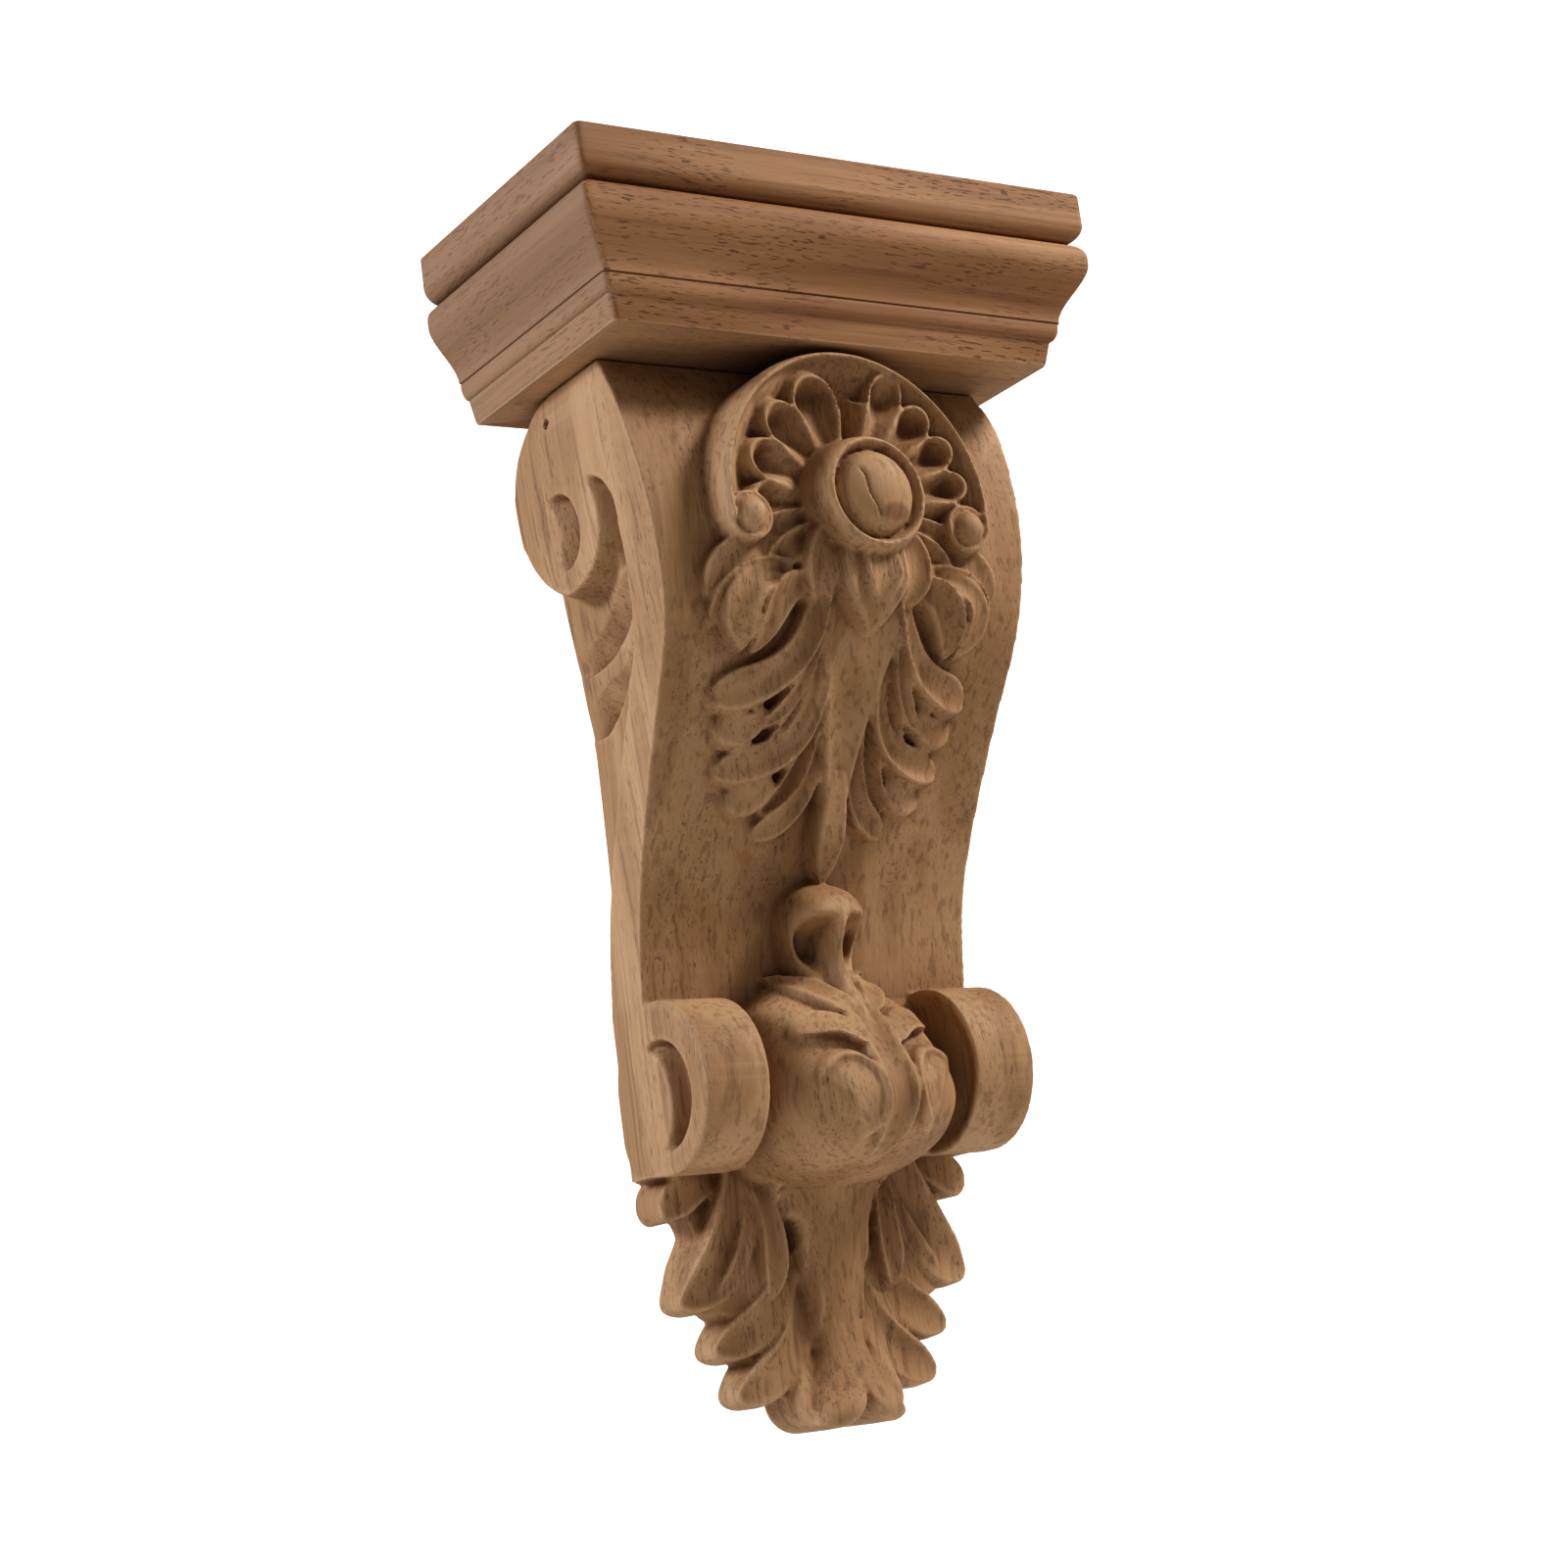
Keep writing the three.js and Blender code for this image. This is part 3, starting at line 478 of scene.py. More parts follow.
STEM = [
    dict(spine=[(0, 52), (0, 30), (0, 14), (1, -12)], widths=[17, 12.5, 4, 2.6], heights=[7, 7.5, 8.5, 8],
         scoop=0.25, tip=0.05),
    dict(spine=[(0, 60), (0, 50), (0, 42), (3, 33)], widths=[8, 11.5, 12, 6], heights=[11, 13.5, 14, 14],
         scoop=0.14, tip=0.5, sharp=0.8),
    dict(spine=[(0.5, 57), (1, 50), (1.5, 44), (3, 37)], widths=[4, 6.5, 7, 3], heights=[12, 15, 15.5, 15],
         scoop=0.1, tip=0.5, sharp=0.8),
    dict(spine=[(0.5, 4), (0.5, -6), (1.2, -14), (1.5, -22)], widths=[1.8, 5, 5, 2.6],
         heights=[7.5, 9, 8.5, 5], scoop=0.05, tip=0.5, sharp=0.7),
]
front_leaves = both_sides(PETALS + EYE_LEAF + STEM_LEAVES) + [stroke(**leaf) for leaf in STEM]
print(len(front_leaves), "strokes on the front")

# %% [markdown]
# The curl under the stem is a leaf that folds over like a nose. Two deep bowls lie beside a rib under it,
# and their rims run down as the ribbon that crosses the boss.

# %% The curl
CURL_LEVELS = [-20, -21.5, -24, -27.5, -31, -34, -38, -42, -46, -51, -58]
curl_half = curve_through(CURL_LEVELS, [2, 6, 9, 10.6, 11, 10.6, 9.4, 8, 6.8, 6, 5])
curl_crest = curve_through(CURL_LEVELS, [26, 31, 35, 37.6, 38.2, 37, 35, 34.8, 36.4, 39.4, 43.5])
CURL_NOSE = -31.5
CURL_HOLLOW = 11
CURL_RIB = 1.5
CURL_RIM = 1.3


def curl_depth(x, z):
    """The crest at this height times a flattened dome across. Under the nose the ground between the
    middle rib and the thin rims sinks, most of all just below the nose, and rises again towards the
    boss."""
    half = curl_half(z)
    s = np.minimum(np.abs(x) / half, 1)
    low = face_depth(z) - 4
    crest = low + (curl_crest(z) - low) * dome(s ** 1.5) ** 0.6
    between = ramp(CURL_RIB * 0.4, CURL_RIB + 2.2, np.abs(x)) * ramp(0.2, CURL_RIM + 2.4, half - np.abs(x))
    sink = ramp(CURL_NOSE + 2.5, CURL_NOSE - 3.5, z) * mix(1, 0.28, ramp(-36.5, -43, z))
    return crest - CURL_HOLLOW * between * sink


curl = mound(np.linspace(CURL_LEVELS[0], CURL_LEVELS[-1], 110), curl_half, curl_depth)
print("the curl has", len(curl[0]), "points")

# %% [markdown]
# The boss is wrapped in leaves that leave the ribbon on both sides: two pointed ones and a large round lobe
# with a raised rim.

# %% The boss's leaves
RIBBON = dict(spine=[(0, -42), (0, -58), (-0.5, -77), (-3, -92)], widths=[5.5, 4, 6.5, 3.2],
              heights=[2.5, 4, 5, 4], scoop=0.6, tip=0.2)
BOSS_LEAVES = [
    dict(spine=[(3, -55), (6, -49), (10, -45), (15, -42)], widths=[2.5, 4, 4.2, 1.8], heights=[3.5, 6, 7, 6],
         scoop=0.3, tilt=0.25, sharp=0.9, tip=0.5, root=0.2),
    dict(spine=[(3, -64), (7, -57), (13, -55), (19.5, -59)], widths=[2.5, 3.6, 4, 2.6],
         heights=[3, 4.5, 4.5, 2.5], scoop=0.15, tilt=-0.25, root=0.2),
]
LOBE_CENTRE = (12.3, -76)
LOBE_SIZE = (8.4, 11.4)
LOBE_SINK, LOBE_LIFT, LOBE_RIM = -1, 2, 1.8


def lobe(side):
    """A shallow dish laid on the boss in rings. Its rim stands up above and on the inner side, and the
    dish sinks into the boss on the outer side and below."""
    share = np.concatenate([np.linspace(0.03, 1, 40), [1.04, 1.04, 0.03]])[:, None]
    turn = np.linspace(0, 2 * pi, 160, endpoint=False)[None, :]
    x = LOBE_CENTRE[0] + LOBE_SIZE[0] * share * np.cos(turn)
    z = LOBE_CENTRE[1] + LOBE_SIZE[1] * share * np.sin(turn)
    shown = ramp(-0.75, 0.1, 0.6 * np.sin(turn) - 0.8 * np.cos(turn))
    depth = boss_depth(x, z) + mix(LOBE_SINK, LOBE_LIFT + LOBE_RIM * bell((share - 0.88) / 0.09), shown)
    depth[-3] -= SINK
    depth[-2:] -= 2 * SINK
    return tube(np.stack([side * x, depth, z], axis=-1)[:, ::-int(side)])


middle_leaves = [stroke(**RIBBON), lobe(1), lobe(-1)] + both_sides(BOSS_LEAVES)
print(len(middle_leaves), "forms on the boss")

# %% [markdown]
# The tail's leaves run from under the volutes and from the stem out to its edge. Each is solid back to the
# wall.

# %% Leaves of the tail
TAIL_LEAVES = [
    dict(spine=[(27, -86), (34, -90), (41, -91), (43.5, -98.5)], widths=[4, 5, 6, 4],
         heights=[1, 3.5, 4, 2.5], scoop=0.35),
    dict(spine=[(22, -84), (26, -104), (31, -114), (42.5, -118.5)], widths=[5, 8, 8, 4.5],
         heights=[4, 6.5, 6, 1.5], scoop=0.5, tilt=0.25),
    dict(spine=[(20, -96), (21, -108), (26, -117), (33, -120.5)], widths=[3, 6, 6.5, 4.5],
         heights=[3, 5.5, 5, 2], scoop=0.4, tilt=0.2),
    dict(spine=[(20, -89), (15.5, -98), (17, -109), (18, -119.5)], widths=[2, 3, 4.6, 3],
         heights=[3, 8, 8.5, 6], scoop=0.35, root=0.2),
    dict(spine=[(11, -102), (11, -118), (22, -127), (34.5, -130.5)], widths=[2.5, 5, 7, 4.5],
         heights=[0.5, 5, 5, 1.5], scoop=0.5, tilt=0.25, root=0.3),
    dict(spine=[(8, -114), (8, -129), (18, -139), (29.5, -141.5)], widths=[2.5, 5, 7, 4.5],
         heights=[0.5, 4.5, 5, 1.5], scoop=0.5, tilt=0.25, root=0.3),
]
LIP = dict(spine=[(3, -126), (5, -137), (8.5, -145), (10.5, -151.5)], widths=[4, 6.5, 10.5, 11],
           heights=[0.5, 1.5, 5.5, 8.5], scoop=0, tip=0.75, root=0.3)
tail_leaves = both_sides(TAIL_LEAVES + [LIP], on=tail_depth, back=BEHIND_WALL)
print(len(tail_leaves), "strokes on the tail")

# %% [markdown]
# The half shell is a bowl with a thin rim. Petals stand round the button in it: each has a crisp round
# edge, a hollow inside the edge and a slope that falls outside it to the bowl. The depth of all this is one
# formula of the radius and the angle, so that neighbouring petals meet in clean valleys. A petal is given
# by its middle and half width in degrees from the top, and its reach in millimetres.

# %% The shell
ROSETTE_LEVEL = 65.5
SHELL_RADIUS = 38.5
SHELL_RIM = 70.5
SHELL_FLOOR = 62.5
RIM_WIDTH = 1.7
SHELL_START = 4
SHELL_END = 99
SHELL_ROOT = 42
PETAL_TOP = 69.5
PETAL_HOLLOW = 5.6
PETAL_SLOPE_DROP = 8.5
PETAL_SLOPE_RUN = 5.2
SHELL_PETALS = [
    (-92, 11.5, 31), (-69, 12.5, 32), (-45, 13, 32.5), (-19.5, 14.5, 33.5),
    (24, 10, 37), (43, 10.5, 34.5), (61, 10, 34.5), (78.5, 9.5, 34), (95, 9, 33),
]


def bowl_depth(r):
    """The bowl's floor, rising outside in an even slope to a thin rounded rim."""
    floor = SHELL_FLOOR + (SHELL_RIM - 2 - SHELL_FLOOR) * ramp(27, SHELL_RADIUS - RIM_WIDTH / 2, r)
    rim = SHELL_RIM - 1.2 * np.square((r - SHELL_RADIUS + RIM_WIDTH / 2) / (RIM_WIDTH / 2))
    return np.where(r > SHELL_RADIUS - RIM_WIDTH, np.maximum(floor, rim), floor)


def petal_depth(r, angle, centre, half, reach):
    """inside is how far a point lies within the petal's outline, in millimetres. From the edge the depth
    falls inwards into the hollow, which is deepest near the tip, and outwards down the slope."""
    u = (angle - centre) / half
    tip = reach * (1 - 0.3 * (1 - dome(np.minimum(np.abs(u), 1))))
    inside = np.minimum(tip - r, (1 - np.abs(u)) * radians(half) * r)
    deep = PETAL_HOLLOW * mix(0.35, 1, ramp(15, reach - 4, r)) * ramp(0.3, 4.6, inside) ** 0.8
    top = PETAL_TOP - 2.6 * ramp(26, 14, r)
    return top - np.where(inside > 0, deep, PETAL_SLOPE_DROP * ramp(0.2, -PETAL_SLOPE_RUN, inside) ** 0.9)


def shell():
    """A fan of rays from the button's edge to the rim, closed by a flat back."""
    outside = SHELL_RADIUS + 0.7
    radii = np.concatenate([np.linspace(SHELL_START, SHELL_RADIUS, 170), [outside, outside, SHELL_START]])
    angle = np.linspace(-SHELL_END, SHELL_END, 900)[None, :]
    r = radii[:, None] + 0 * angle
    depth = bowl_depth(r)
    for centre, half, reach in SHELL_PETALS:
        depth = np.maximum(depth, petal_depth(r, angle, centre, half, reach))
    depth = np.minimum(depth, SHELL_RIM + 0 * r)
    depth[-3] = SHELL_RIM - 4
    depth[-2:] = SHELL_ROOT
    turn = np.radians(angle)
    rings = np.stack([r * np.sin(turn), depth, ROSETTE_LEVEL + r * np.cos(turn)], axis=-1)
    return tube(rings.transpose(1, 0, 2))


# %% [markdown]
# The button is turned: a steep wall, a thin rolled ring, a deep groove and a high round dome. A ball in a
# small cup ends the shell's rim on each side.

# %% The button and the balls
BUTTON_RADIUS = 14.4
DOME_RADIUS = 10.9
DOME_FOOT = 74.2
DOME_HEIGHT = 7.3
DOME_GROOVE = 1.5
RING_CREST = 77.6
BUTTON_FOOT_RADIUS = 16.2
BUTTON_FOOT = 67
BALL_PLACE = (32, 60.5)
BALL_RADIUS = 4.6
BALL_FOOT = 67.5
BALL_HEIGHT = 5
CUP_RADIUS = 5.6
CUP_CREST = 69.8
CUP_HALF_WIDTH = 0.6
CENTRE_RADIUS = 0.05


def lathe(radii, depths, centre, steps=240):
    """Turns a profile of radii and depths about a centre on the front."""
    turn = np.linspace(0, 2 * pi, steps, endpoint=False)[None, :]
    r, depth = np.array(radii)[:, None], np.array(depths)[:, None]
    x, z = centre[0] + r * np.sin(turn), centre[1] + r * np.cos(turn)
    return tube(np.stack([x, depth + 0 * turn, z], axis=-1))


def button():
    """A dome, a groove and a ring whose section is a parabola, then a wall down into the bowl."""
    out = [15, BUTTON_FOOT_RADIUS, BUTTON_FOOT_RADIUS, CENTRE_RADIUS]
    r = np.concatenate([np.linspace(CENTRE_RADIUS, BUTTON_RADIUS, 140), out])
    domed = DOME_FOOT + DOME_HEIGHT * dome(np.minimum(r / DOME_RADIUS, 1))
    domed = domed - DOME_GROOVE * ramp(-0.2, 0.5, r - DOME_RADIUS)
    middle = (DOME_RADIUS + 1 + BUTTON_RADIUS) / 2
    ring = RING_CREST - 1.9 * np.square((r - middle) / (BUTTON_RADIUS - middle))
    depth = np.where(r < DOME_RADIUS + 0.9, domed, ring)
    depth[-4:] = [73.5, BUTTON_FOOT, SHELL_ROOT, SHELL_ROOT]
    return lathe(r, depth, (0, ROSETTE_LEVEL))


def ball(side):
    """A dome in the middle of a thin round lip."""
    r = np.concatenate([np.linspace(CENTRE_RADIUS, 6.2, 50), [6.4, CENTRE_RADIUS]])
    domed = BALL_FOOT + BALL_HEIGHT * dome(np.minimum(r / BALL_RADIUS, 1))
    cup = CUP_CREST - 1.2 * np.square((r - CUP_RADIUS) / CUP_HALF_WIDTH)
    depth = np.where(r < BALL_RADIUS, domed, cup)
    depth[-2:] = SHELL_ROOT
    return lathe(r, depth, (side * BALL_PLACE[0], BALL_PLACE[1]), steps=80)


rosette = [shell(), button(), ball(1), ball(-1)]
print(len(SHELL_PETALS), "petals in the shell")

# %% [markdown]
# All of these forms overlap. A voxel remesh turns them into one closed skin with a fine, even net, and a
# little smoothing takes its steps away, as sanding does.

# %% Melt the forms into one block
VOXEL = 0.55
points, faces = joined(
    [trunk_skin] + volutes + [boss, tail_core, curl] + rosette + front_leaves + middle_leaves + tail_leaves
)
block = bpy.data.objects.new("block", mesh_from("block", points, faces))
bpy.context.collection.objects.link(block)
remesh = block.modifiers.new("one skin", "REMESH")
remesh.mode = "VOXEL"
remesh.voxel_size = VOXEL * MM
remesh.adaptivity = 0


def evaluated(obj):
    """A copy of the object's mesh with its modifiers applied."""
    seen = obj.evaluated_get(bpy.context.evaluated_depsgraph_get())
    return bpy.data.meshes.new_from_object(seen)


fine = evaluated(block)
bpy.data.objects.remove(block)
print("one skin:", len(fine.vertices), "points")

# %% [markdown]
# Smoothing moves each point towards the middle of its neighbours. The same sum, run many times on a copy,
# gives how deep a point lies in a hollow. This later darkens the hollows as painted shade.

# %% Smoothing
def read(items, name, width=1, kind=np.float32):
    """A value, or a row of values, from every item of a mesh, as one array."""
    values = np.empty(len(items) * width, kind)
    items.foreach_get(name, values)
    return values.reshape(-1, width) if width > 1 else values


def smoothed(mesh, rounds, share=0.5):
    """The points after some rounds. Each round moves a point by a share of the way to its neighbours'
    mean."""
    co = read(mesh.vertices, "co", 3).astype(float)
    a, b = read(mesh.edges, "vertices", 2, np.int32).T
    count = len(co)
    degree = np.bincount(a, minlength=count) + np.bincount(b, minlength=count)
    for _ in range(rounds):
        total = np.stack([
            np.bincount(a, co[b, k], count) + np.bincount(b, co[a, k], count) for k in range(3)
        ], axis=1)
        co = co + share * (total / degree[:, None] - co)
    return co


co = smoothed(fine, 2)
print("smoothed", len(co), "points")

# %% [markdown]
# A nail went in on the left side, just under the cap, and left a small round hole. Two deep gouge holes
# stand beside the tail's stem, and a crack runs over the button's dome. Each moves the fine net's points by
# a formula of their place. Then the block is cut flat at the wall, and at the cap.

# %% Holes, a crack and the flat back
NAIL_HOLE = (22.3, 98.2)
NAIL_RADIUS = 1.2
NAIL_DEPTH = 5
GOUGE_HOLE = (11.8, -105)
GOUGE_SIZE = (2, 4.2)
GOUGE_DEPTH = 12
GOUGE_FLOOR = 5
CRACK_TOP = (-6.6, 71.5)
CRACK_FOOT = (-2, 57.5)
CRACK_WIDTH = 0.45
CRACK_DEPTH = 0.8
across, depth, height = co[:, 0] / MM, -co[:, 1] / MM, co[:, 2] / MM
from_nail = np.hypot(depth - NAIL_HOLE[0], height - NAIL_HOLE[1]) / NAIL_RADIUS
on_left = across < -0.9 * EDGE_HALF_WIDTHS[0]
co[:, 0] += on_left * NAIL_DEPTH * MM * clamp01(1 - from_nail ** 4)
gouge_aside = (np.abs(across) - GOUGE_HOLE[0]) / GOUGE_SIZE[0]
from_gouge = np.hypot(gouge_aside, (height - GOUGE_HOLE[1]) / GOUGE_SIZE[1])
gouged = np.maximum(depth - GOUGE_DEPTH * clamp01(2.2 * (1 - from_gouge ** 2)), GOUGE_FLOOR)
co[:, 1] = np.where(depth > GOUGE_FLOOR, -gouged * MM, co[:, 1])
down = clamp01((CRACK_TOP[1] - height) / (CRACK_TOP[1] - CRACK_FOOT[1]))
aside = across - mix(CRACK_TOP[0], CRACK_FOOT[0], down) - 0.5 * np.sin(down * 9)
crack = bell(aside / CRACK_WIDTH) * ramp(0, 0.15, down) * ramp(1, 0.85, down) * (depth > DOME_FOOT + 1)
co[:, 1] += CRACK_DEPTH * MM * crack
co[:, 1] = np.minimum(co[:, 1], 0)
co[:, 2] = np.clip(co[:, 2], BODY_END * MM, BODY_TOP * MM)
fine.vertices.foreach_set("co", co.astype(np.float32).ravel())
fine.update()
print("the block ends", round(-co[:, 2].min() / MM, 1), "mm below the middle")

# %% [markdown]
# Hollows are darkened with painted shade, and raised edges are made a little paler. To colour them, each
# point stores how far the much smoothed surface stands over it. The way that the fine net faces is stored
# too, because the next step thins the net.

# %% Hollows and facings as attributes
WALL_RIM = 0.4


def add_hollow(mesh, rounds, depth):
    """Stores how far the much smoothed surface stands over each point, in shares of a depth in
    millimetres. The flat back has none."""
    co = read(mesh.vertices, "co", 3).astype(float)
    normals = read(mesh.vertices, "normal", 3)
    over = np.sum((smoothed(mesh, rounds) - co) * normals, axis=1) / (depth * MM)
    over[co[:, 1] > -WALL_RIM * MM] = 0
    attribute = mesh.attributes.new("hollow", "FLOAT", "POINT")
    attribute.data.foreach_set("value", over.astype(np.float32))
    print(mesh.name, "hollow from", round(over.min(), 2), "to", round(over.max(), 2))


add_hollow(fine, 40, 0.9)
facing = fine.attributes.new("facing", "FLOAT_VECTOR", "POINT")
facing.data.foreach_set("vector", read(fine.vertices, "normal", 3).ravel())

# %% [markdown]
# The net is thinned out where it is flat. The facings of the fine net are kept as the normals of the
# thinner one's corners, so that long triangles don't show. On the flat back, and where a kept facing leans
# far from its triangle, the triangle's own is used, and the edges there stay crisp.

# %% Thin out the net
TRIANGLES = 190000
CRISP_ANGLE = 32
body = bpy.data.objects.new("carved_block", fine)
bpy.context.collection.objects.link(body)
thin = body.modifiers.new("thin out", "DECIMATE")
thin.ratio = TRIANGLES / (2 * len(fine.polygons))
body.data = evaluated(body)
body.modifiers.clear()
body.data.name = "carved_block"
facing = read(body.data.attributes["facing"].data, "vector", 3)
facing /= np.maximum(np.linalg.norm(facing, axis=1), 1e-6)[:, None]
facing = facing[read(body.data.loops, "vertex_index", kind=np.int32)]
corners_each = read(body.data.polygons, "loop_total", kind=np.int32)
flat = np.repeat(read(body.data.polygons, "normal", 3), corners_each, axis=0)
on_wall = flat[:, 1] > 0.99
leaning = np.sum(facing * flat, axis=1) < cos(radians(CRISP_ANGLE))
facing = np.where((leaning | on_wall)[:, None], flat, facing)
body.data.attributes.remove(body.data.attributes["facing"])
print("after thinning:", len(body.data.polygons), "faces")

# %% [markdown]
# The cap's boards are profiles carried round three sides with mitred, slightly rounded corners, and closed
# flat at the wall.

# %% The cap's boards
CORNER_RADIUS = 1.5
FOOT_INSET = 10.6
GROOVE_DEPTH = 4.6
GROOVE_HEIGHT = 4.4
OGEE_INSET = 7
OGEE_HEIGHT = 14.5
OGEE_START = 1.5
BEAD_INSET = 7.1
BEAD_QUIRK = 0.5
BEAD_FALL = 1.6
BEAD_RADIUS = 2.2
CAP_SIDE_POINTS, CAP_FRONT_POINTS, CAP_CORNER_POINTS = 89, 158, 7


def cap_ring(inset, level):
    """From the wall on the left, round two corners of a small radius, to the right and back along the
    wall."""
    half, front = CAP_HALF_WIDTH - inset, CAP_DEPTH - inset
    turn = np.linspace(0, pi / 2, CAP_CORNER_POINTS)
    left = [-half + CORNER_RADIUS * (1 - np.cos(turn)), front - CORNER_RADIUS * (1 - np.sin(turn))]
    left = np.stack(left, axis=1)
    forward = np.linspace(0, front - CORNER_RADIUS, CAP_SIDE_POINTS + 1)[:-1]
    left_side = np.stack([np.full(CAP_SIDE_POINTS, -half), forward], axis=1)
    across = np.linspace(-1, 1, CAP_FRONT_POINTS + 2)[1:-1]
    middle = np.stack([across * (half - CORNER_RADIUS), np.full(CAP_FRONT_POINTS, front)], axis=1)
    wall = np.stack([-across * half, np.zeros(CAP_FRONT_POINTS)], axis=1)
    right, right_side = (left * [-1, 1])[::-1], (left_side * [-1, 1])[::-1]
    ring = np.concatenate([left_side, left, middle, right, right_side, wall])
    return np.column_stack([ring[:, 0], ring[:, 1], np.full(len(ring), level)])


def board(name, profile):
    rings = np.stack([cap_ring(inset, level) for inset, level in profile])
    made = bpy.data.objects.new(name, mesh_from(name, *tube(rings)))
    bpy.context.collection.objects.link(made)
    print(name, len(made.data.polygons), "faces")
    return made


def arc(steps, shape):
    """Points of a profile, from a shape of a number that runs from 0 to 1."""
    return [shape(t) for t in np.linspace(0, 1, steps)]


def slab_edge(t):
    """A quarter circle of 1 mm in section, at the top."""
    return 1.0 * (1 - sin(t * pi / 2)), SLAB_HIGH[2] - 1.0 * (1 - cos(t * pi / 2))


def slab_groove(t):
    """A quarter ellipse into the groove between the boards."""
    return GROOVE_DEPTH * (1 - cos(t * pi / 2)), SLAB_FOOT + GROOVE_HEIGHT * (1 - sin(t * pi / 2))


def mould_groove(t):
    """A quarter ellipse out of the groove."""
    return GROOVE_DEPTH * (1 - sin(t * pi / 2)), MOULD_TOP - GROOVE_HEIGHT * (1 - cos(t * pi / 2))


def ogee(t):
    """An eased step inwards on an even fall."""
    return OGEE_INSET * float(ramp(0, 1, t)), WIDEST - OGEE_START - OGEE_HEIGHT * t


def bead(t):
    """A half turn that swells a little, and draws in towards its foot."""
    inset = BEAD_INSET + BEAD_QUIRK * (1 - sin(pi * t)) + BEAD_FALL * t * t
    return inset, WIDEST - OGEE_START - OGEE_HEIGHT - BEAD_RADIUS * (1 - cos(pi * t))


SLAB_FOOT = SLAB_LOW[2]
MOULD_TOP, MOULD_FOOT = MOULD_HIGH[2], MOULD_LOW[2]
WIDEST = MOULD_TOP - GROOVE_HEIGHT
slab = board("sanded_top_board", [
    *arc(5, slab_edge),
    (0, SLAB_FOOT + GROOVE_HEIGHT + 3),
    *arc(14, slab_groove),
])
moulding = board("sanded_moulding", [
    *arc(10, mould_groove),
    *arc(24, ogee),
    *arc(12, bead),
    (FOOT_INSET - 1.2, WIDEST - 21),
    (FOOT_INSET - 0.1, MOULD_FOOT + 0.8),
    (FOOT_INSET + 0.3, MOULD_FOOT),
])

# %% [markdown]
# A node's number can be written in a material as plain Python, because a small class wraps its socket and
# turns the signs of arithmetic into Math nodes.

# %% Shader values as expressions
class Value:
    """A number that varies over the surface. Signs such as + and * add Math nodes to its tree."""

    def __init__(self, paint, socket):
        self.paint = paint
        self.socket = socket

    def math(self, operation, *others):
        return self.paint.math(operation, self, *others)

    def __add__(self, other):
        return self.math("ADD", other)

    def __sub__(self, other):
        return self.math("SUBTRACT", other)

    def __rsub__(self, other):
        return self.paint.math("SUBTRACT", other, self)

    def __mul__(self, other):
        return self.math("MULTIPLY", other)

    __radd__ = __add__
    __rmul__ = __mul__


class Paint:
    """The tree of a material or a world. node adds any node from its type, settings and sockets' values."""

    def __init__(self, owner):
        self.owner = owner
        owner.use_nodes = True
        self.tree = owner.node_tree
        self.tree.nodes.clear()

    def node(self, kind, settings=None, inputs=None, output=0):
        made = self.tree.nodes.new(kind)
        for key, value in (settings or {}).items():
            setattr(made, key, value)
        for key, value in (inputs or {}).items():
            if isinstance(value, Value):
                self.tree.links.new(value.socket, made.inputs[key])
            else:
                made.inputs[key].default_value = value
        return Value(self, made.outputs[output]) if made.outputs else made

    def math(self, operation, *numbers):
        return self.node("ShaderNodeMath", {"operation": operation}, dict(enumerate(numbers)))

    def blend(self, factor, a, b):
        """Mixes two colours by a factor."""
        return self.node("ShaderNodeMix", {"data_type": "RGBA"}, {0: factor, 6: a, 7: b}, output=2)


# %% [markdown]
# A few helpers place things in the wood. The cap's sides are mouldings of their own, mitred at the corners,
# so the grain turns there and the face is greyer. A spot marks a place on the front: a small knot beside
# the stem, and a dark stain on the button.

# %% Helpers for the wood
MOULDING_WIDTH = 13
SPOT_FADE = 5


def rgba(r, g, b):
    return (r, g, b, 1)


def smooth_step(paint, value, low, high):
    """A smooth step of a value, from 0 at low to 1 at high."""
    return paint.node("ShaderNodeMapRange", {"interpolation_type": "SMOOTHSTEP"},
                      {0: value, 1: low, 2: high, 3: 0.0, 4: 1.0})


def cap_side(paint, place):
    """1 in the mitred sides of the cap, 0 in its front, its top and its middle."""
    x, y, z = (paint.node("ShaderNodeSeparateXYZ", None, {0: place}, output=k) for k in (0, 1, 2))
    from_side = CAP_HALF_WIDTH * MM - x.math("ABSOLUTE")
    from_front = y + CAP_DEPTH * MM
    mitred = from_side.math("LESS_THAN", from_front) * z.math("LESS_THAN", (SLAB_HIGH[2] - 1) * MM)
    return mitred * from_side.math("LESS_THAN", MOULDING_WIDTH * MM)


def along_sides(paint, place, on_side):
    """Swaps X and Y in the mitred sides of the cap, so that the grain follows each length of moulding."""
    quarter = {"Vector": place, "Angle": pi / 2}
    turned = paint.node("ShaderNodeVectorRotate", {"rotation_type": "Z_AXIS"}, quarter)
    return paint.node("ShaderNodeMix", {"data_type": "VECTOR"}, {0: on_side, 4: place, 5: turned}, output=1)


def spot(paint, place, centre, size, front):
    """A soft oval across and up the front, at depths beyond a limit; the numbers are in millimetres."""
    x, y, z = (paint.node("ShaderNodeSeparateXYZ", None, {0: place}, output=k) for k in (0, 1, 2))
    across = (x - centre[0] * MM) * (1 / (size[0] * MM))
    up = (z - centre[1] * MM) * (1 / (size[1] * MM))
    away = (across * across + up * up).math("SQRT")
    return smooth_step(paint, away, 1.0, 0.5) * smooth_step(paint, y, -front * MM, -(front + SPOT_FADE) * MM)
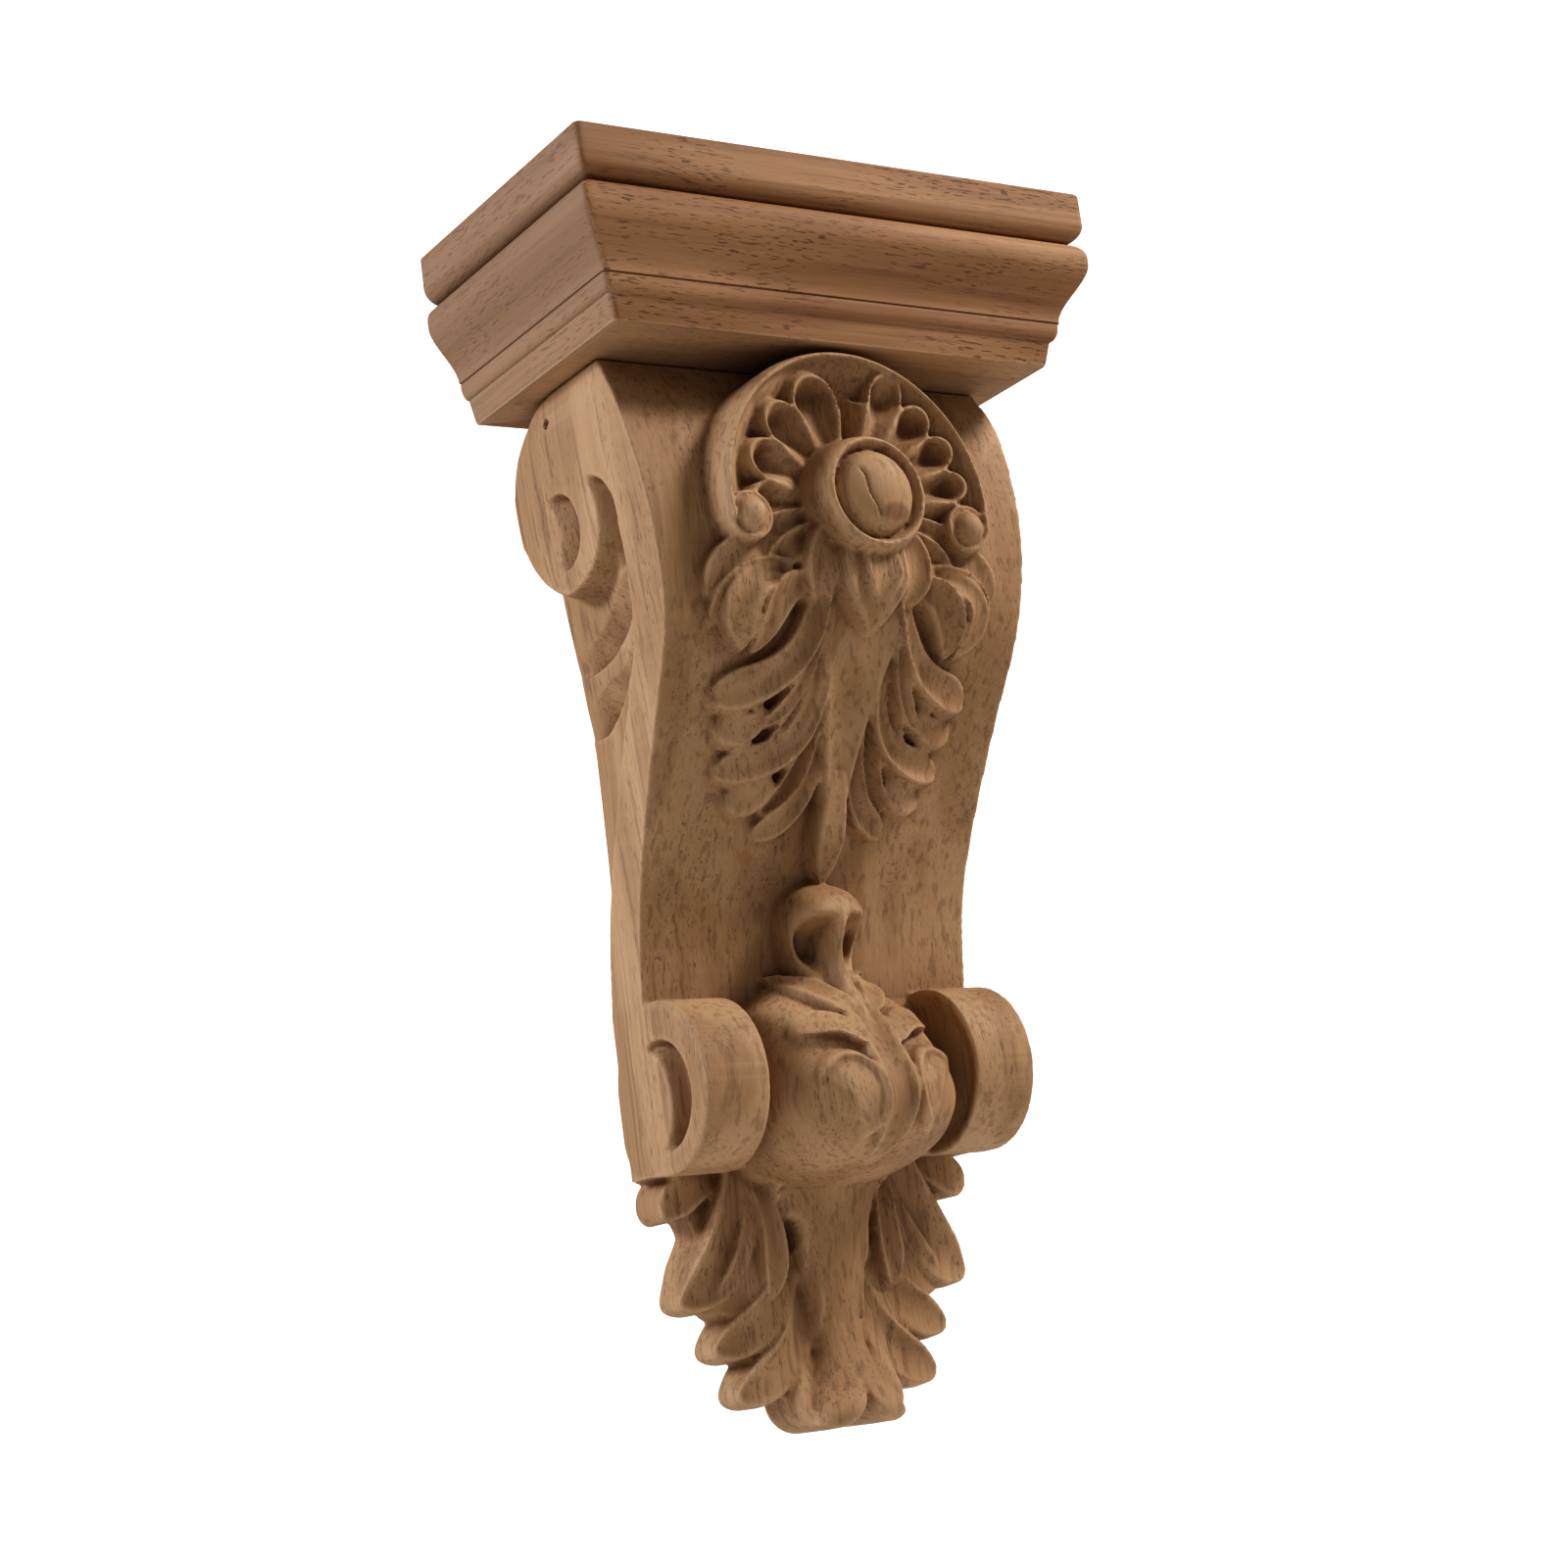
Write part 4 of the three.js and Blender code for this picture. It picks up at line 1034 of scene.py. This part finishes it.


# %% [markdown]
# The wood is a light brown hardwood with a matte, sanded finish. Its figure is a solid one, so it runs
# through the block: broad growth bands along the grain, fine fibres, and short dark pores. Hollows are
# darkened to a redder brown as painted shade, and the raised edges are a little paler. Both are read from
# the attribute worked out above.

# %% The wood
KNOT = (-20, -13.6)
KNOT_SIZE = (2.8, 2.2)
KNOT_FRONT = 10
STAIN = (3, 59.6)
STAIN_SIZE = (5.5, 2.6)
STAIN_FRONT = 70
PORE = rgba(0.07, 0.03, 0.016)
SIDE_GREY = rgba(0.245, 0.17, 0.12)
KNOT_BROWN = rgba(0.36, 0.16, 0.04)
STAIN_BROWN = rgba(0.16, 0.05, 0.02)
# The colour of the painted shade laid into hollows.
PAINTED_SHADE_BROWN = rgba(0.13, 0.05, 0.02)
EDGE_BROWN = rgba(0.56, 0.38, 0.23)


def wood(name, grain, light, dark, band_size, pore_size, pore_start, pore_strength, streak_strength, seed):
    """A wood whose grain runs along one axis: 0 for X, which turns on the cap's sides, and 2 for Z. Every
    noise is stretched along the grain. Bands are the sine of a slow noise, and mix the light and the dark
    tone with the fibres; pores are the peaks of a fine noise, where a slower one lets them be."""
    paint = Paint(bpy.data.materials.new(name))
    place = paint.node("ShaderNodeTexCoord", output=3)
    figure = place
    if grain == 0:
        on_side = cap_side(paint, place)
        figure = along_sides(paint, place, on_side)
    offset = (seed * 0.37, seed * 0.11, seed * 0.23)

    def stretched(share):
        scale = [1.0, 1.0, 1.0]
        scale[grain] = share
        return paint.node("ShaderNodeMapping", None, {0: figure, 1: offset, 3: scale})

    def noise(coordinates, size, detail=3.0, rough=0.55):
        return paint.node("ShaderNodeTexNoise", None, {
            "Vector": coordinates, "Scale": size, "Detail": detail, "Roughness": rough,
        })

    broad = noise(stretched(0.1), band_size, 2.0)
    lines = broad * 26.0 + noise(stretched(0.04), 260.0, 2.0) * 1.5
    rings = lines.math("SINE")
    fibres = noise(stretched(0.035), 900.0, 4.0, 0.65)
    cloud = noise(place, 22.0, 3.0)
    dashes = noise(stretched(0.13), pore_size, 1.0, 0.4)
    streaks = smooth_step(paint, noise(stretched(0.02), 650.0, 1.0, 0.4), 0.53, 0.7)
    rare = noise(stretched(0.3), 60.0, 2.0)
    pores = smooth_step(paint, dashes, pore_start, pore_start + 0.08) * smooth_step(paint, rare, 0.35, 0.6)
    darker = smooth_step(paint, rings, -0.9, 1.0) * 0.4 + fibres * 0.6 + cloud * 0.3 - 0.18
    tone = paint.blend(darker, light, dark)
    hollow = paint.node("ShaderNodeAttribute", {"attribute_name": "hollow"}, output=2)
    # Painted shade: deep is how much a hollow is darkened, from the hollow attribute.
    deep = smooth_step(paint, hollow, 0.05, 0.9)
    raised = smooth_step(paint, hollow * -1.0, 0.08, 0.7)
    tone = paint.blend(streaks * streak_strength, tone, PORE)
    if grain == 0:
        pores = pores * (1.0 - on_side * 0.55)
        tone = paint.blend(on_side * 0.45, tone, SIDE_GREY)
    tone = paint.blend(pores * pore_strength, tone, PORE)
    if grain == 2:
        tone = paint.blend(spot(paint, place, KNOT, KNOT_SIZE, KNOT_FRONT) * 0.5, tone, KNOT_BROWN)
        tone = paint.blend(spot(paint, place, STAIN, STAIN_SIZE, STAIN_FRONT) * 0.5, tone, STAIN_BROWN)
    # Painted shade: the hollows are darkened towards a red brown.
    tone = paint.blend(deep * 0.68, tone, PAINTED_SHADE_BROWN)
    tone = paint.blend(raised * 0.3, tone, EDGE_BROWN)
    bump = paint.node("ShaderNodeBump", None, {
        "Strength": 0.35, "Distance": 0.0004, "Height": fibres * 0.6 - pores * 0.9,
    })
    rough = fibres * 0.12 + 0.62
    shader = paint.node("ShaderNodeBsdfPrincipled", None, {
        "Base Color": tone, "Roughness": rough, "Normal": bump, "Specular IOR Level": 0.3,
    })
    paint.node("ShaderNodeOutputMaterial", None, {0: shader})
    return paint.owner


body_wood = wood(
    "body wood", 2, rgba(0.47, 0.295, 0.16), rgba(0.27, 0.145, 0.064), band_size=28.0, pore_size=2300.0,
    pore_start=0.62, pore_strength=0.5, streak_strength=0.3, seed=3,
)
cap_wood = wood(
    "cap wood", 0, rgba(0.435, 0.245, 0.122), rgba(0.235, 0.108, 0.043), band_size=30.0, pore_size=2100.0,
    pore_start=0.585, pore_strength=0.75, streak_strength=0.2, seed=8,
)
print([material.name for material in (body_wood, cap_wood)])

# %% [markdown]
# Each piece gets its wood and smooth shading. The imported solid it stands for is hidden, and the empty for
# the body root carries it. The boards keep their mitres and edges sharp.

# %% Dress the pieces
def finish_piece(piece, material, slot_name, *nodes):
    piece.data.materials.clear()
    piece.data.materials.append(material)
    piece.data.polygons.foreach_set("use_smooth", np.ones(len(piece.data.polygons), bool))
    piece.data.update()
    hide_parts(*nodes)
    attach(piece, "root")


finish_piece(body, body_wood, "body_wood", "carved_body")
body.data.normals_split_custom_set(facing)
for piece, node in ((slab, "top_board"), (moulding, "moulded_board")):
    # The boards get the hollow attribute too, so their grooves take the painted shade.
    add_hollow(piece.data, 6, 1.0)
    finish_piece(piece, cap_wood, "cap_wood", node)
    piece.data.set_sharp_from_angle(angle=radians(30))
print("dressed:", body.name, slab.name, moulding.name)

# %% [markdown]
# The camera stands at the photograph's place: low, to the left of the corbel, and tipped a little.

# %% Camera
FOCAL_PIXELS = 2987.7
SENSOR = 36.0
CAMERA_PLACE = (-0.40776, -0.61616, -0.14753)
YAW, PITCH, ROLL = radians(34.390), radians(12.096), radians(-7.786)
ahead = Vector((sin(YAW) * cos(PITCH), cos(YAW) * cos(PITCH), sin(PITCH)))
level_right = Vector((cos(YAW), -sin(YAW), 0))
level_up = level_right.cross(ahead)
right = cos(ROLL) * level_right + sin(ROLL) * level_up
up = cos(ROLL) * level_up - sin(ROLL) * level_right
camera_turn = Matrix((right, up, -ahead)).transposed().to_4x4()
camera = bpy.data.objects.new("camera", bpy.data.cameras.new("camera"))
bpy.context.collection.objects.link(camera)
camera.data.sensor_width = SENSOR
camera.data.lens = FOCAL_PIXELS / PHOTO_SIDE * SENSOR
camera.data.clip_start = 0.01
camera.matrix_world = Matrix.Translation(CAMERA_PLACE) @ camera_turn
bpy.context.scene.camera = camera
print("lens", round(camera.data.lens, 1), "mm")

# %% [markdown]
# The floor is plain and pale and lies well below the corbel, which hangs on its wall face. The camera sees
# a white room, but the room lights the wood only softly. A key light from the right above and a cooler one
# from the left draw the carving.

# %% Floor and light
FLOOR_DROP = 120
FLOOR_HALF = 550
level = BODY_END - FLOOR_DROP
corners = [(-1, -1), (1, -1), (1, 1), (-1, 1)]
floor_points = np.array([(x * FLOOR_HALF, y * FLOOR_HALF, level) for x, y in corners])
floor = bpy.data.objects.new("floor", mesh_from("floor", floor_points, [np.array([[3, 2, 1, 0]])]))
bpy.context.collection.objects.link(floor)
pale = Paint(bpy.data.materials.new("pale floor"))
pale_shader = pale.node("ShaderNodeBsdfPrincipled", None, {
    "Base Color": rgba(0.85, 0.85, 0.84), "Roughness": 0.9,
})
pale.node("ShaderNodeOutputMaterial", None, {0: pale_shader})
floor.data.materials.append(pale.owner)

ROOM_LIGHT = 0.27
room = Paint(bpy.data.worlds.new("soft room"))
seen = room.node("ShaderNodeLightPath")
strength = seen * (1 - ROOM_LIGHT) + ROOM_LIGHT
glow = room.node("ShaderNodeBackground", None, {"Color": rgba(1, 1, 1), "Strength": strength})
room.node("ShaderNodeOutputWorld", None, {0: glow})
bpy.context.scene.world = room.owner
bpy.context.scene.view_settings.view_transform = "Standard"
bpy.context.scene.view_settings.look = "High Contrast"


def soft_light(name, place, size, power, color=(1, 1, 1)):
    """A square light that faces the wall face's middle, where the frame has its origin."""
    lamp = bpy.data.lights.new(name, "AREA")
    lamp.size = size
    lamp.energy = power
    lamp.color = color
    made = bpy.data.objects.new(name, lamp)
    bpy.context.collection.objects.link(made)
    direction = -Vector(place)
    made.matrix_world = Matrix.Translation(place) @ direction.to_track_quat("-Z", "Y").to_matrix().to_4x4()
    print(name, "light,", power, "W")


soft_light("key", (0.6, -0.55, 0.7), size=0.25, power=8.4)
soft_light("side", (-1.04, 0.2, 0.4), size=0.4, power=8.8, color=(0.86, 0.95, 1.1))
